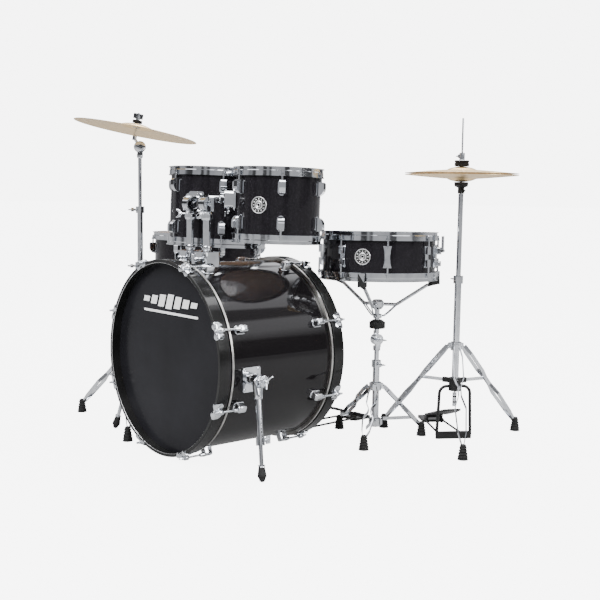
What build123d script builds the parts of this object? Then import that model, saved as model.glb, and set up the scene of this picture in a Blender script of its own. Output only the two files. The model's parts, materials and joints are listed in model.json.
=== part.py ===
from build123d import *
import os
from math import cos, radians, sin

# Acoustic drum kit, in millimetres, +Z up.  The bass drum lies along Y with its front head
# towards -Y, the player sits on the +Y side, and the origin is on the floor at the middle
# of the kit's box.  Angles on the floor plan are measured from +X towards +Y.

os.makedirs("parts", exist_ok=True)

# ---- driving dimensions ----
KIT_X, KIT_Y = 147.75, -324.25                # spot on the floor under the middle of the bass drum
SHELL_WALL = 7.5
FIT = 0.4                                    # clearance round a sliding or turning fit

BASS_R, BASS_LENGTH, BASS_LEAN = 279.4, 406.4, 0.65
HOOP_R, HOOP_WOOD, HOOP_DEPTH, HOOP_REACH = 291.0, 9.5, 38.0, 30.3
BASS_LUGS, LUG_INSET, CLAW_WIDTH, ROD_R = 8, 58.0, 40.0, 3.0
KEY_ROD_AT = 299.0                           # radius of the circle that the bass drum rods lie on

SPUR_PIVOT = (317.0, -125.0, 268.0)          # beside the shell, measured from KIT_X, KIT_Y
SPUR_FOOT = (385.0, -160.0, 9.0)
SPUR_TUBE_R, SPUR_BORE_R, SPUR_ROD_R = 8.5, 6.5, 6.0
SPUR_HUB_IN, SPUR_HUB, SPUR_DISC_R = 9.5, 16.0, 17.0    # ratchet face inside the pivot, hub, disc

POST_R, POST_X, POST_Y, POST_PIVOT_Z = 11.5, 42.0, -100.0, 748.0
DISC_R, DISC_T = 22.0, 12.5
BLOCK_TOP = 608.0

RIM_H, RIM_RISE, RIM_T = 27.0, 10.0, 2.2     # pressed steel hoops
EAR_AT = 11.5                                # rod circle outside the shell radius

# x, y, height of the middle, shell radius, shell length, lean, lugs, first lug, bracket angle
RIGHT_TOM = dict(x=145.5, y=85.8, z=746.0, r=127.0, length=203.2, lean=1.5, lugs=6, first=-35.7)
LEFT_TOM = dict(x=-163.9, y=92.8, z=733.7, r=152.4, length=228.6, lean=2.5, lugs=6, first=-31.6)
FLOOR_TOM = dict(x=-665.0, y=417.0, z=415.0, r=203.2, length=406.4, lean=0.8, lugs=8, first=-22.5)
SNARE = dict(x=236.4, y=431.0, z=592.0, r=177.8, length=131.0, lean=1.8, lugs=8, first=-38.0)
SNARE_HEADING, PLAYER = 138.0, 90.0          # which way the snare drum and the other drums lean
RIGHT_BRACKET, LEFT_BRACKET, BRACKET_UP = 234.3, 298.4, 14.0
TOM_ROD, SNARE_ROD, LUG_BELOW = 34.0, 26.0, 50.0
STRAINER_AT = 29.5

FLOOR_LEGS = (100.0, 212.5, 325.0)
FLOOR_LEG_R = 5.0
FLOOR_LEG_OUT, FLOOR_BRACKET_Z = 24.0, -70.0

SNARE_FEET = (156.0, -58.0)                  # foot circle radius and first leg's angle
HAT_AT, HAT_FEET = (401.7, 626.0), (250.0, -44.0)
CRASH_AT, CRASH_FEET = (-420.0, -40.0), (262.0, -41.0)
LOWER_TUBE_R, UPPER_TUBE_R, PULL_ROD_R = 11.0, 8.0, 3.0
LEG_GAP = 1.2
SNARE_COLLAR, SNARE_STRUT, SNARE_TILT_Z, SNARE_HEAD_AT = 170.0, 62.0, 322.0, 76.0
BASKET_ARMS = (-61.0, 59.0, 179.0)
BASKET_GRIP_R = SNARE["r"] + 15.5
HAT_COLLAR, HAT_STRUT, HAT_TUBE_FOOT = 303.0, 190.0, 176.0
ROD_STEP = 930.0                             # the pull rod is ground to its full size above this
CRASH_COLLAR, CRASH_STRUT = 267.0, 150.0
CRASH_TUBE_R, CRASH_MID_R, CRASH_TOP_R = 12.5, 9.5, 6.3

HAT_R, HAT_RISE, HAT_EDGE, HAT_GAP = 177.8, 21.0, 848.0, 5.0
CRASH_R, CRASH_RISE, CRASH_LEAN, CRASH_DOWNHILL = 203.0, 25.0, 10.2, 65.0
CRASH_TILTER_Z, CRASH_SEAT, CRASH_BELL_R, CRASH_BELL_H = 930.0, 54.0, 58.0, 12.0
CRASH_SETBACK, CRASH_DISC_R = 22.0, 19.0        # the stem stands behind the tilter disc
CYMBAL_T = 1.3

HAT_PEDAL_AT, HAT_HEEL = 147.0, 226.0        # direction of the hi-hat pedal, and its hinge
KICK_X, KICK_AXLE_Y, KICK_AXLE_Z = -4.0, 278.0, 175.0
KICK_HEEL_Y, PEDAL_HINGE_Z, PEDAL_TOE_Z = 545.0, 22.0, 92.0
KICK_POST, KICK_TOE_Y, CAM_R, AXLE_R = 40.0, 304.0, 28.0, 6.0
BEATER_LEAN, BEATER_AT, BEATER_R, BEATER_LENGTH = 35.0, 180.0, 25.0, 42.0
BOARD_T, BOARD_WIDTH, TOE_WIDTH, CHAIN_FOOT, CHAIN_STEP = 6.0, 74.0, 40.0, 106.0, 9


# ---- places ----
def spot(x, y, z=0.0):
    """A point measured from the spot on the floor under the middle of the bass drum."""
    return Vector(KIT_X + x, KIT_Y + y, z)


def upright(x, y, z=0.0, turn=0.0):
    """A level plane over a spot on the floor, with its x axis turned on the plan."""
    return Plane(spot(x, y, z), x_dir=(cos(radians(turn)), sin(radians(turn)), 0), z_dir=(0, 0, 1))


def leaning(x, y, z, lean, heading):
    """A plane whose normal leans from the vertical towards a heading on the plan."""
    tilt, way = radians(lean), radians(heading)
    normal = (sin(tilt) * cos(way), sin(tilt) * sin(way), cos(tilt))
    return Plane(spot(x, y, z), x_dir=(cos(tilt) * cos(way), cos(tilt) * sin(way), -sin(tilt)),
                 z_dir=normal)


def spun(base, angle, radius=0.0, height=0.0):
    """The base plane spun about its normal, then moved out along its x axis and up."""
    way = base.x_dir * cos(radians(angle)) + base.y_dir * sin(radians(angle))
    return Plane(base.origin + way * radius + base.z_dir * height, x_dir=way, z_dir=base.z_dir)


def flipped(base):
    """The same place facing the other way."""
    return Plane(base.origin, x_dir=base.x_dir, z_dir=-base.z_dir)


def outward(base):
    """The plane through the same origin that faces along the base plane's x axis."""
    return Plane(base.origin, x_dir=base.z_dir, z_dir=base.x_dir)


def around(base, count, first, radius=0.0, height=0.0):
    """Evenly spun copies of a plane, each with its x axis pointing outwards."""
    return [spun(base, first + 360.0 * i / count, radius, height) for i in range(count)]


def ends(base, length):
    """The two end planes of a drum, each facing away from the drum's middle."""
    return [base.offset(length / 2), flipped(base.offset(-length / 2))]


# ---- shapes, each added to the piece that is being built ----
def turned(base, *outline, mode=Mode.ADD):
    """A solid of revolution about the plane's normal, from (radius, height) points."""
    side = Plane(base.origin, x_dir=base.x_dir, z_dir=-base.y_dir)
    with BuildSketch(side) as profile:
        with BuildLine():
            Polyline(*outline, close=True)
        make_face()
    revolve(profile.sketch, axis=Axis(base.origin, base.z_dir), mode=mode)


def ring(base, outer, inner, height, mode=Mode.ADD):
    """A plain ring or, with no inner radius, a disc standing on the plane."""
    with BuildSketch(base) as profile:
        Circle(outer)
        if inner:
            Circle(inner, mode=Mode.SUBTRACT)
    extrude(profile.sketch, amount=height, mode=mode)


def rod(start, end, radius, bore=0.0, mode=Mode.ADD):
    """A round bar from start to end, or a tube when it has a bore."""
    start, end = Vector(start), Vector(end)
    ring(Plane(start, z_dir=end - start), radius, bore, (end - start).length, mode)


def block(base, width, depth, height, corner=0.0, mode=Mode.ADD):
    """A block standing on the plane, with rounded upright corners."""
    with BuildSketch(base) as outline:
        if corner:
            RectangleRounded(width, depth, corner)
        else:
            Rectangle(width, depth)
    extrude(outline.sketch, amount=height, mode=mode)


def local_block(base, along, across, z, length, width, height, corner=0.0):
    """A block centred over a point given along and across a stand's own plane."""
    block(Plane(base.from_local_coords((along, across, z)), x_dir=base.x_dir, z_dir=base.z_dir),
          length, width, height, corner)


def bent_rod(points, radius, bend):
    """A round bar bent along a row of points."""
    with BuildLine() as path:
        FilletPolyline(*points, radius=bend)
    with BuildSketch(Plane(path.line @ 0, z_dir=path.line % 0)) as section:
        Circle(radius)
    sweep(section.sketch, path=path.line)


def wing_bolt(seat, reach=16.0, span=30.0):
    """A thumb screw that stands out of its seat along the plane's normal."""
    ring(seat, 4.0, 0, reach)
    ring(seat.offset(reach - 4), 6.5, 0, 9)
    block(seat.offset(reach - 2), span, 3.6, 15, 1.5)


def save(piece, name):
    """Names a finished piece and writes its STEP file."""
    piece.part.label = name
    export_step(piece.part, f"parts/{name}.step")


# ---- drums ----
def drum_plane(drum):
    """The plane at the middle of a drum, facing its top head, with its x axis towards +X."""
    heading = SNARE_HEADING if drum is SNARE else PLAYER
    base = leaning(drum["x"], drum["y"], drum["z"], drum["lean"], heading)
    return Plane(base.origin, x_dir=Vector(0, 1, 0).cross(base.z_dir), z_dir=base.z_dir)


def shell_of(base, radius, length):
    """A ply shell with bearing edges."""
    half, inner = length / 2, radius - SHELL_WALL
    with BuildPart() as shell:
        turned(base, (inner, -half + 5), (radius - 2, -half), (radius, -half + 2),
               (radius, half - 2), (radius - 2, half), (inner, half - 5))
    return shell


def drumhead(end, radius, skirt, hoop_out):
    """A film drawn over the bearing edge, with the flesh hoop that it is held by."""
    turned(end, (0, 0.9), (radius + 1.4, 0.9), (radius + 1.4, -skirt), (radius + 0.4, -skirt),
           (radius + 0.4, 0.1), (0, 0.1))
    turned(end.offset(-skirt - 6), (radius + 0.6, 0), (hoop_out, 0), (hoop_out, 6.2),
           (radius + 0.6, 6.2))


def rim_height(end):
    """The plane of a pressed hoop's lower edge."""
    return end.offset(RIM_RISE - RIM_H)


def pressed_hoop(end, radius, lugs, first):
    """A triple-flanged steel hoop, with an ear and a hole for each tension rod."""
    foot = rim_height(end)
    turned(foot, (radius + 4.5, 0), (radius + 9, 0), (radius + 9, RIM_T), (radius + 6.7, RIM_T),
           (radius + 6.7, 15), (radius + 5.6, 17), (radius + 5.6, RIM_H - RIM_T),
           (radius + 9, RIM_H - RIM_T), (radius + 9, RIM_H), (radius + 3.4, RIM_H),
           (radius + 3.4, 15.5), (radius + 4.5, 14))
    for ear in around(foot, lugs, first, radius + EAR_AT - 0.5):
        block(ear, 11, 18, RIM_T, 3)
    for hole in around(foot, lugs, first, radius + EAR_AT):
        ring(hole.offset(-1), ROD_R + FIT, 0, RIM_T + 2, Mode.SUBTRACT)


def tension_rod(station, length):
    """A square-headed key rod, from above its hoop's ear down to its lug."""
    ring(station.offset(-length), ROD_R, 0, length + 3)
    ring(station.offset(0.1), 4.6, 0, 1.6)
    ring(station.offset(1.5), 4.2, 0, 4.5)
    block(station.offset(6), 5.2, 5.2, 8, 1)


def tom_lug(station, width=17.0, height=40.0, depth=24.0):
    """A narrow, deep cast lug on a flange, rounded off towards the middle of the drum."""
    with BuildSketch(outward(station)) as flange:
        SlotOverall(height + 6, width + 5)
    extrude(flange.sketch, amount=2.5)
    side = Plane(station.origin, x_dir=station.x_dir, z_dir=-station.y_dir)
    with BuildSketch(side) as profile:
        with BuildLine():
            Polyline((0, -height / 2), (0, height / 2), (depth - 4, height / 2), (depth, height / 2 - 4),
                     (depth, 0))
            ThreePointArc((depth, 0), (depth * 0.72, -height * 0.36), (0, -height / 2))
        make_face()
    extrude(profile.sketch, amount=width / 2, both=True)


def snare_lug(station, height=66.0, width=26.0):
    """A double-ended lug, waisted in the middle like a bow tie."""
    face = outward(station)
    with BuildSketch(face) as bow:
        with BuildLine():
            Line((height / 2, -width / 2), (height / 2, width / 2))
            ThreePointArc((height / 2, width / 2), (0, width / 3.2), (-height / 2, width / 2))
            Line((-height / 2, width / 2), (-height / 2, -width / 2))
            ThreePointArc((-height / 2, -width / 2), (0, -width / 3.2), (height / 2, -width / 2))
        make_face()
    extrude(bow.sketch, amount=5)
    for side in (1, -1):
        end_face = Plane(face.from_local_coords((side * height / 3.4, 0, 4)), x_dir=face.x_dir,
                         z_dir=face.z_dir)
        block(end_face, height * 0.36, width * 0.62, 9.5, 3)


def export_drum(name, drum):
    """The shell, hoops, heads and tuning hardware of a drum with pressed hoops."""
    base, radius, length = drum_plane(drum), drum["r"], drum["length"]
    save(shell_of(base, radius, length), f"{name}_shell")
    top, bottom = ends(base, length)
    first_of = ((top, drum["first"]), (bottom, -drum["first"]))
    with BuildPart() as hoops:
        for end, first in first_of:
            pressed_hoop(end, radius, drum["lugs"], first)
    with BuildPart() as heads:
        for end in (top, bottom):
            drumhead(end, radius, 10.0, radius + 4.0)
    with BuildPart() as hardware:
        for end, first in first_of:
            for ear in around(rim_height(end).offset(RIM_T), drum["lugs"], first, radius + EAR_AT):
                tension_rod(ear, SNARE_ROD if drum is SNARE else TOM_ROD)
            if drum is not SNARE:
                for station in around(end.offset(-LUG_BELOW), drum["lugs"], first, radius):
                    tom_lug(station)
        if drum is SNARE:
            for station in around(base, drum["lugs"], drum["first"], radius):
                snare_lug(station)
    save(hoops, f"{name}_hoops")
    save(heads, f"{name}_heads")
    save(hardware, f"{name}_tuning_lugs")


rise, run = sin(radians(BASS_LEAN)), cos(radians(BASS_LEAN))
BASS_Z = (BASS_LENGTH / 2 + HOOP_REACH) * rise + HOOP_R * run      # batter hoop just on the floor
bass = Plane(spot(0, 0, BASS_Z), x_dir=(1, 0, 0), z_dir=(0, -run, rise))
front_end, batter_end = ends(bass, BASS_LENGTH)
bass_ends = (front_end, batter_end)

bass_shell = shell_of(bass, BASS_R, BASS_LENGTH)
with BuildPart(mode=Mode.PRIVATE) as drilled_shell:
    add(bass_shell.part)
    for side in (1, -1):
        rod(spot(side * POST_X, POST_Y, 500), spot(side * POST_X, POST_Y, 620), POST_R + 2,
            mode=Mode.SUBTRACT)
save(drilled_shell, "bass_drum_shell")

with BuildPart() as bass_hoops:
    for end in bass_ends:
        ring(end.offset(HOOP_REACH - HOOP_DEPTH), HOOP_R, HOOP_R - HOOP_WOOD, HOOP_DEPTH)
    fillet(bass_hoops.edges().filter_by(GeomType.CIRCLE).group_by(SortBy.RADIUS)[-1], 1.5)
save(bass_hoops, "bass_drum_hoops")

with BuildPart() as bass_front_head:
    drumhead(front_end, BASS_R, 13.0, 289.5)
save(bass_front_head, "bass_drum_front_head")

with BuildPart() as bass_batter_head:
    drumhead(batter_end, BASS_R, 13.0, 289.5)
save(bass_batter_head, "bass_drum_batter_head")

with BuildPart() as bass_lugs:
    for end in bass_ends:
        for station in around(end, BASS_LUGS, 22.5, BASS_R, -LUG_INSET):
            with BuildSketch(outward(station)) as foot:
                SlotOverall(50, 24)
            extrude(foot.sketch, amount=KEY_ROD_AT - BASS_R + 6, taper=6)
save(bass_lugs, "bass_drum_lugs")

CLAW_IN, CLAW_OUT, LIP = HOOP_R + 0.4, HOOP_R + 3.2, HOOP_REACH + 0.3
with BuildPart() as bass_claws:
    for end in bass_ends:
        for station in around(end, BASS_LUGS, 22.5):
            side = Plane(station.origin, x_dir=station.x_dir, z_dir=station.x_dir.cross(station.z_dir))
            with BuildSketch(side) as hook:
                with BuildLine():
                    Polyline((CLAW_IN, 2), (CLAW_OUT, 2), (CLAW_OUT, LIP + 3), (HOOP_R - 11, LIP + 3),
                             (HOOP_R - 11, LIP), (CLAW_IN, LIP), close=True)
                make_face()
            extrude(hook.sketch, amount=CLAW_WIDTH / 2, both=True)
            ear = spun(station, 0, KEY_ROD_AT - 1, 12)
            block(ear, 13, 16, 13, 3)
        for hole in around(end, BASS_LUGS, 22.5, KEY_ROD_AT):
            ring(hole, ROD_R + FIT, 0, 40, Mode.SUBTRACT)
save(bass_claws, "bass_drum_claws")

with BuildPart() as bass_rods:
    for end in bass_ends:
        for station in around(end, BASS_LUGS, 22.5, KEY_ROD_AT, 25.2):
            ring(station.offset(-LUG_INSET), ROD_R, 0, LUG_INSET + 2)
            ring(station, 4.6, 0, 6)
            block(station.offset(6), 5.4, 5.4, 9, 1)
save(bass_rods, "bass_drum_tension_rods")


# ---- bass drum spurs ----
def spur_axis(side):
    """The pivot and the foot of the spur on one side."""
    pivot = spot(side * SPUR_PIVOT[0], SPUR_PIVOT[1], SPUR_PIVOT[2])
    foot = spot(side * SPUR_FOOT[0], SPUR_FOOT[1], SPUR_FOOT[2])
    return pivot, foot


with BuildPart() as spur_brackets:
    for side in (1, -1):
        pivot, foot = spur_axis(side)
        seat = Plane(spot(side * (BASS_R - 8), SPUR_PIVOT[1] + 6, SPUR_PIVOT[2] - 4), x_dir=(0, 1, 0),
                     z_dir=(side, 0, 0))
        block(seat, 62, 70, 13, 6)
        boss = Plane(spot(side * (BASS_R - 6), SPUR_PIVOT[1], SPUR_PIVOT[2]), z_dir=(side, 0, 0))
        ring(boss, SPUR_DISC_R, 0, SPUR_PIVOT[0] - BASS_R + 6 - SPUR_HUB_IN - FIT)
    turned(bass, (0, -250), (BASS_R + 0.15, -250), (BASS_R + 0.15, 250), (0, 250), mode=Mode.SUBTRACT)
save(spur_brackets, "bass_drum_spur_brackets")

for side, name in ((1, "right"), (-1, "left")):
    pivot, foot = spur_axis(side)
    along = (foot - pivot).normalized()
    with BuildPart() as spur_leg:
        hub = Plane(pivot - Vector(side * SPUR_HUB_IN, 0, 0), z_dir=(side, 0, 0))
        ring(hub, SPUR_DISC_R, 0, SPUR_HUB)
        socket = Plane(pivot + along * 13, z_dir=along)
        turned(socket, (0, 0), (11.5, 0), (12, 8), (11, 41), (0, 41))
        rod(pivot + along * 50, pivot + along * 178, SPUR_TUBE_R)
        ring(Plane(pivot + along * 156, z_dir=along), 12.5, 0, 24)
        screw = Plane(pivot + along * 168 + Vector(0, 10, 0), z_dir=(0, 1, 0))
        wing_bolt(screw, 12, 24)
        rod(pivot + along * 66, pivot + along * 190, SPUR_BORE_R, mode=Mode.SUBTRACT)
        handle = Plane(hub.origin + Vector(side * SPUR_HUB, 0, 0), z_dir=(side, 0, 0))
        wing_bolt(handle, 8, 34)
    save(spur_leg, f"spur_leg_{name}")
    with BuildPart() as spur_tip:
        rod(pivot + along * 116, foot - along * 30, SPUR_ROD_R)
        boot = Plane(foot - along * 34, z_dir=along)
        turned(boot, (0, -4), (10, -4), (10, -1), (8.5, 0), (12.5, 24), (12.5, 28), (9, 33.5), (0, 33.5))
        dome = [(SPUR_FOOT[2] * cos(radians(a)), SPUR_FOOT[2] * sin(radians(a)))
                for a in range(-90, 91, 15)]
        turned(Plane(foot), *dome)
    save(spur_tip, f"spur_tip_{name}")


# ---- rack toms and their holder ----
with BuildPart() as tom_mount:
    for side in (1, -1):
        block(upright(side * POST_X, POST_Y, 556), 62, 56, BLOCK_TOP - 556, 7)
        wing_bolt(Plane(spot(side * POST_X, POST_Y - 27, 588), z_dir=(0, -1, 0)), 15, 30)
    turned(bass, (0, -250), (BASS_R + 0.15, -250), (BASS_R + 0.15, 250), (0, 250), mode=Mode.SUBTRACT)
    for side in (1, -1):
        rod(spot(side * POST_X, POST_Y, 500), spot(side * POST_X, POST_Y, 620), POST_R + FIT,
            mode=Mode.SUBTRACT)
save(tom_mount, "tom_holder_base")

for side, name, drum, bracket_at in ((1, "right_tom", RIGHT_TOM, RIGHT_BRACKET),
                                     (-1, "left_tom", LEFT_TOM, LEFT_BRACKET)):
    base = drum_plane(drum)
    pivot = spot(side * POST_X, POST_Y, POST_PIVOT_Z)
    with BuildPart() as post:
        rod(spot(side * POST_X, POST_Y, 505), spot(side * POST_X, POST_Y, 712), POST_R, POST_R - 2.5)
        turned(upright(side * POST_X, POST_Y, 702), (0, 0), (15, 0), (17, 6), (17, 17), (13, 24), (0, 24))
        fixed_half = Plane(pivot - Vector(side * DISC_T, 0, 0), z_dir=(side, 0, 0))
        ring(fixed_half, DISC_R, 0, DISC_T - 0.2)
        block(Plane(pivot + Vector(-side * DISC_T / 2, 0, -32)), DISC_T - 0.6, 24, 20)
        ring(flipped(fixed_half), 12, 0, 5)
    save(post, f"{name}_post")

    bracket = spun(base, bracket_at, drum["r"], BRACKET_UP)
    grip = bracket.from_local_coords((20, 0, 0))
    elbow = pivot + Vector(side * (DISC_T - 1.5), 0, 16)
    reach = (grip - elbow).normalized()
    with BuildPart() as arm:
        moving_half = Plane(pivot + Vector(side * 0.2, 0, 0), z_dir=(side, 0, 0))
        ring(moving_half, DISC_R, 0, DISC_T)
        wing_bolt(moving_half.offset(DISC_T - 1), 12, 40)
        turned(Plane(elbow - reach * 4, z_dir=reach), (0, 0), (10, 0), (9.5, 34), (0, 34))
        rod(elbow, grip + reach * 12, 7.0)
        ring(Plane(grip - reach * 34, z_dir=reach), 12, 0, 12)
    save(arm, f"{name}_tilter_arm")

    with BuildPart() as clamp:
        face = outward(bracket)
        with BuildSketch(face) as plate:
            RectangleRounded(64, 52, 8)
        extrude(plate.sketch, amount=7)
        block(face.offset(6), 50, 44, 27, 8)
        wing_bolt(Plane(bracket.from_local_coords((20, 0, -24)), z_dir=-bracket.z_dir), 14, 26)
        rod(grip - reach * 60, grip + reach * 60, 7.0 + FIT, mode=Mode.SUBTRACT)
    save(clamp, f"{name}_bracket")
    export_drum(name, drum)

# ---- floor tom ----
export_drum("floor_tom", FLOOR_TOM)
floor_base = drum_plane(FLOOR_TOM)
with BuildPart() as leg_brackets:
    for angle in FLOOR_LEGS:
        seat = spun(floor_base, angle, FLOOR_TOM["r"], FLOOR_BRACKET_Z)
        block(outward(seat), 62, 46, 5, 6)
        block(outward(seat).offset(4), 40, 24, 30, 5)
        wing_bolt(outward(seat).offset(32), 12, 30)
    for angle in FLOOR_LEGS:
        top = spun(floor_base, angle, FLOOR_TOM["r"] + FLOOR_LEG_OUT, FLOOR_BRACKET_Z)
        rod(top.from_local_coords((0, 0, -60)), top.from_local_coords((0, 0, 60)),
            FLOOR_LEG_R + FIT, mode=Mode.SUBTRACT)
save(leg_brackets, "floor_tom_leg_brackets")

with BuildPart() as floor_legs:
    for angle in FLOOR_LEGS:
        top = spun(floor_base, angle, FLOOR_TOM["r"] + FLOOR_LEG_OUT, FLOOR_BRACKET_Z)
        way = Vector(cos(radians(angle)), sin(radians(angle)), 0)
        upper = top.from_local_coords((0, 0, 95))
        bend = top.from_local_coords((0, 0, -150))
        out = bend + way * 30 + Vector(0, 0, -45)
        foot = Vector(out.X, out.Y, 30)
        bent_rod([upper, bend, out, foot], FLOOR_LEG_R, 22)
        turned(Plane(Vector(out.X, out.Y, 0)), (0, 0), (14, 0), (13, 6), (10, 34), (7, 40), (0, 40))
save(floor_legs, "floor_tom_legs")

# ---- snare drum ----
export_drum("snare", SNARE)
snare_base = drum_plane(SNARE)
with BuildPart() as strainer:
    seat = spun(snare_base, STRAINER_AT, SNARE["r"])
    face = outward(seat)
    block(face, 74, 30, 6, 4)
    block(Plane(seat.from_local_coords((5, 0, 18)), x_dir=seat.z_dir, z_dir=seat.x_dir), 22, 26, 15, 3)
    block(Plane(seat.from_local_coords((5, 0, -22)), x_dir=seat.z_dir, z_dir=seat.x_dir), 16, 22, 15, 3)
    butt = outward(spun(snare_base, STRAINER_AT + 180, SNARE["r"]))
    block(butt, 44, 30, 5, 4)
    block(butt.offset(4), 18, 24, 10, 3)
save(strainer, "snare_strainer")

with BuildPart() as lever:
    pin = spun(snare_base, STRAINER_AT, SNARE["r"] + 26, 18)
    ring(Plane(pin.from_local_coords((0, -13, 0)), z_dir=pin.y_dir), 5, 0, 26)
    block(Plane(pin.from_local_coords((0, 0, 0)), x_dir=pin.x_dir, z_dir=pin.z_dir), 6, 20, 46, 2.5)
save(lever, "snare_strainer_lever")

with BuildPart() as wires:
    under = spun(snare_base, STRAINER_AT, 0, -SNARE["length"] / 2 - 3.2)
    for i in range(-7, 8, 2):
        block(Plane(under.from_local_coords((0, i * 2.6, 0)), x_dir=under.x_dir, z_dir=under.z_dir),
              312, 1.8, 1.8)
    for side in (1, -1):
        block(Plane(under.from_local_coords((side * 154, 0, -0.6)), x_dir=under.x_dir, z_dir=under.z_dir),
              14, 46, 2.6, 1)
save(wires, "snare_wires")


# ---- stands ----
def tripod_legs(at, feet, collar_z, strut_z, hub_r, strut_r):
    """Three riveted double-strip legs with rubber feet, and their struts."""
    foot_r, first = feet
    for base in around(upright(*at), 3, first):
        start = base.from_local_coords((hub_r, 0, collar_z))
        heel = base.from_local_coords((foot_r, 0, 34))
        along = (heel - start).normalized()
        span = (heel - start).length
        strip = Plane(start, x_dir=along, z_dir=along.cross(base.y_dir))
        with BuildSketch(strip) as outline:
            with BuildLine() as edge:
                FilletPolyline((0, 8), (span * 0.10, 15), (span * 0.32, 15), (span * 0.42, 4.2),
                               (span * 0.5, 4.2), (span * 0.62, 17), (span * 0.86, 12), (span, 1),
                               radius=12)
            trace(edge.line, line_width=2.6)
            mirror(about=Plane.XZ)
        extrude(outline.sketch, amount=6, both=True)
        sole = Plane(base.from_local_coords((foot_r + 4, 0, 0)), x_dir=base.x_dir, z_dir=(0, 0, 1))
        turned(sole, (0, 0), (16, 0), (16, 3), (14, 5), (14.5, 12), (12.5, 14), (13, 21), (11, 23),
               (11.5, 30), (9.5, 32), (9.5, 43), (7, 46), (0, 46))
        share = (collar_z - strut_z) / (collar_z - 34)
        pinch = base.from_local_coords((hub_r + (foot_r - hub_r) * share, 0, strut_z))
        inner = base.from_local_coords((strut_r, 0, strut_z))
        if strut_r:
            bar = Plane((pinch + inner) / 2 - base.y_dir * 1.5, x_dir=(pinch - inner).normalized(),
                        z_dir=base.y_dir)
            block(bar, (pinch - inner).length, 11, 3)


def collar(base, z, inner, outer, height, screw=True):
    """A clamp collar with a thumb screw, centred on a height of the stand."""
    ring(base.offset(z - height / 2), outer, inner, height)
    if screw:
        seat = Plane(base.from_local_coords((outer - 2, 0, z)), z_dir=base.x_dir)
        wing_bolt(seat, 13, 28)


def leg_sockets(base, first, z, inner, reach):
    """The ring on a stand that the three legs hang from."""
    ring(base.offset(z - 13), inner + 7, inner, 26)
    for lug in around(base, 3, first, inner + 4 + (reach - inner - 5) / 2, z - 9):
        block(lug, reach - inner - 5, 14, 18, 2)


snare_stand = upright(SNARE["x"], SNARE["y"], 0, -20)
with BuildPart() as snare_stand_base:
    rod(snare_stand.origin + Vector(0, 0, 40), snare_stand.origin + Vector(0, 0, 232),
        LOWER_TUBE_R, UPPER_TUBE_R + FIT)
    collar(snare_stand, 243, UPPER_TUBE_R + FIT, 15, 22)
    turn = SNARE_FEET[1] + 20
    leg_sockets(snare_stand, turn, SNARE_COLLAR, LOWER_TUBE_R - 0.5, 26 - LEG_GAP)
    leg_sockets(snare_stand, turn, 52, LOWER_TUBE_R - 0.5, 24)
    tripod_legs((SNARE["x"], SNARE["y"]), SNARE_FEET, SNARE_COLLAR, SNARE_STRUT, 26, 26)
save(snare_stand_base, "snare_stand_base")

snare_head = upright(SNARE["x"], SNARE["y"], 0, SNARE_HEAD_AT)
with BuildPart() as snare_upper:
    rod(snare_head.origin + Vector(0, 0, 130), snare_head.origin + Vector(0, 0, 300), UPPER_TUBE_R, 6)
    turned(snare_head.offset(286), (0, 0), (11, 0), (12, 6), (12, 15), (0, 15))
    fork = Plane(snare_head.from_local_coords((0, -0.2, SNARE_TILT_Z)), z_dir=-snare_head.y_dir)
    ring(fork, 18, 0, 11)
    local_block(snare_head, 0, -5.6, 298, 18, 10.6, 12)
    wing_bolt(fork.offset(10), 12, 32)
save(snare_upper, "snare_stand_upper_tube")

with BuildPart() as basket:
    head = Plane(snare_head.from_local_coords((0, 0.2, SNARE_TILT_Z)), z_dir=snare_head.y_dir)
    ring(head, 18, 0, 11)
    local_block(snare_head, 0, 5.7, SNARE_TILT_Z + 8, 14, 10.6, 20)
    rod(snare_head.from_local_coords((0, 2, SNARE_TILT_Z + 20)),
        snare_head.from_local_coords((0, 2, 448)), 8)
    turned(snare_head.offset(358), (0, 0), (24, 0), (24, 8), (21, 12), (21, 24), (14, 28), (0, 28))
    turned(snare_head.offset(420), (0, 0), (13, 0), (19, 8), (19, 24), (14, 30), (0, 30))
    for angle in BASKET_ARMS:
        arm = spun(upright(SNARE["x"], SNARE["y"]), angle)
        grip = spun(snare_base, angle, BASKET_GRIP_R, -SNARE["length"] / 2 - RIM_RISE)
        bent_rod([arm.from_local_coords((12, 0, 436)), arm.from_local_coords((62, 0, 434)),
                  grip.from_local_coords((-32, 0, -20)), grip.from_local_coords((2, 0, -12))], 5.5, 14)
        local_block(grip, -8, 0, -16, 34, 22, 14.6, 3)
        local_block(grip, 4.4, 0, -8, 7, 22, 34, 2)
save(basket, "snare_basket")

# ---- hi-hat ----
hat = upright(*HAT_AT, 0, HAT_PEDAL_AT)


def at_hat(along, across, z):
    """A point along and across the hi-hat pedal's own line."""
    return hat.from_local_coords((along, across, z))


with BuildPart() as hat_base:
    rod(at_hat(0, 0, HAT_TUBE_FOOT), at_hat(0, 0, 506), LOWER_TUBE_R, UPPER_TUBE_R + FIT)
    collar(hat, 517, UPPER_TUBE_R + FIT, 15.5, 24)
    leg_sockets(hat, HAT_FEET[1] - HAT_PEDAL_AT, HAT_COLLAR, LOWER_TUBE_R - 0.5, 28 - LEG_GAP)
    tripod_legs(HAT_AT, HAT_FEET, HAT_COLLAR, HAT_STRUT, 28, 44)
save(hat_base, "hihat_stand_base")

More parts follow.
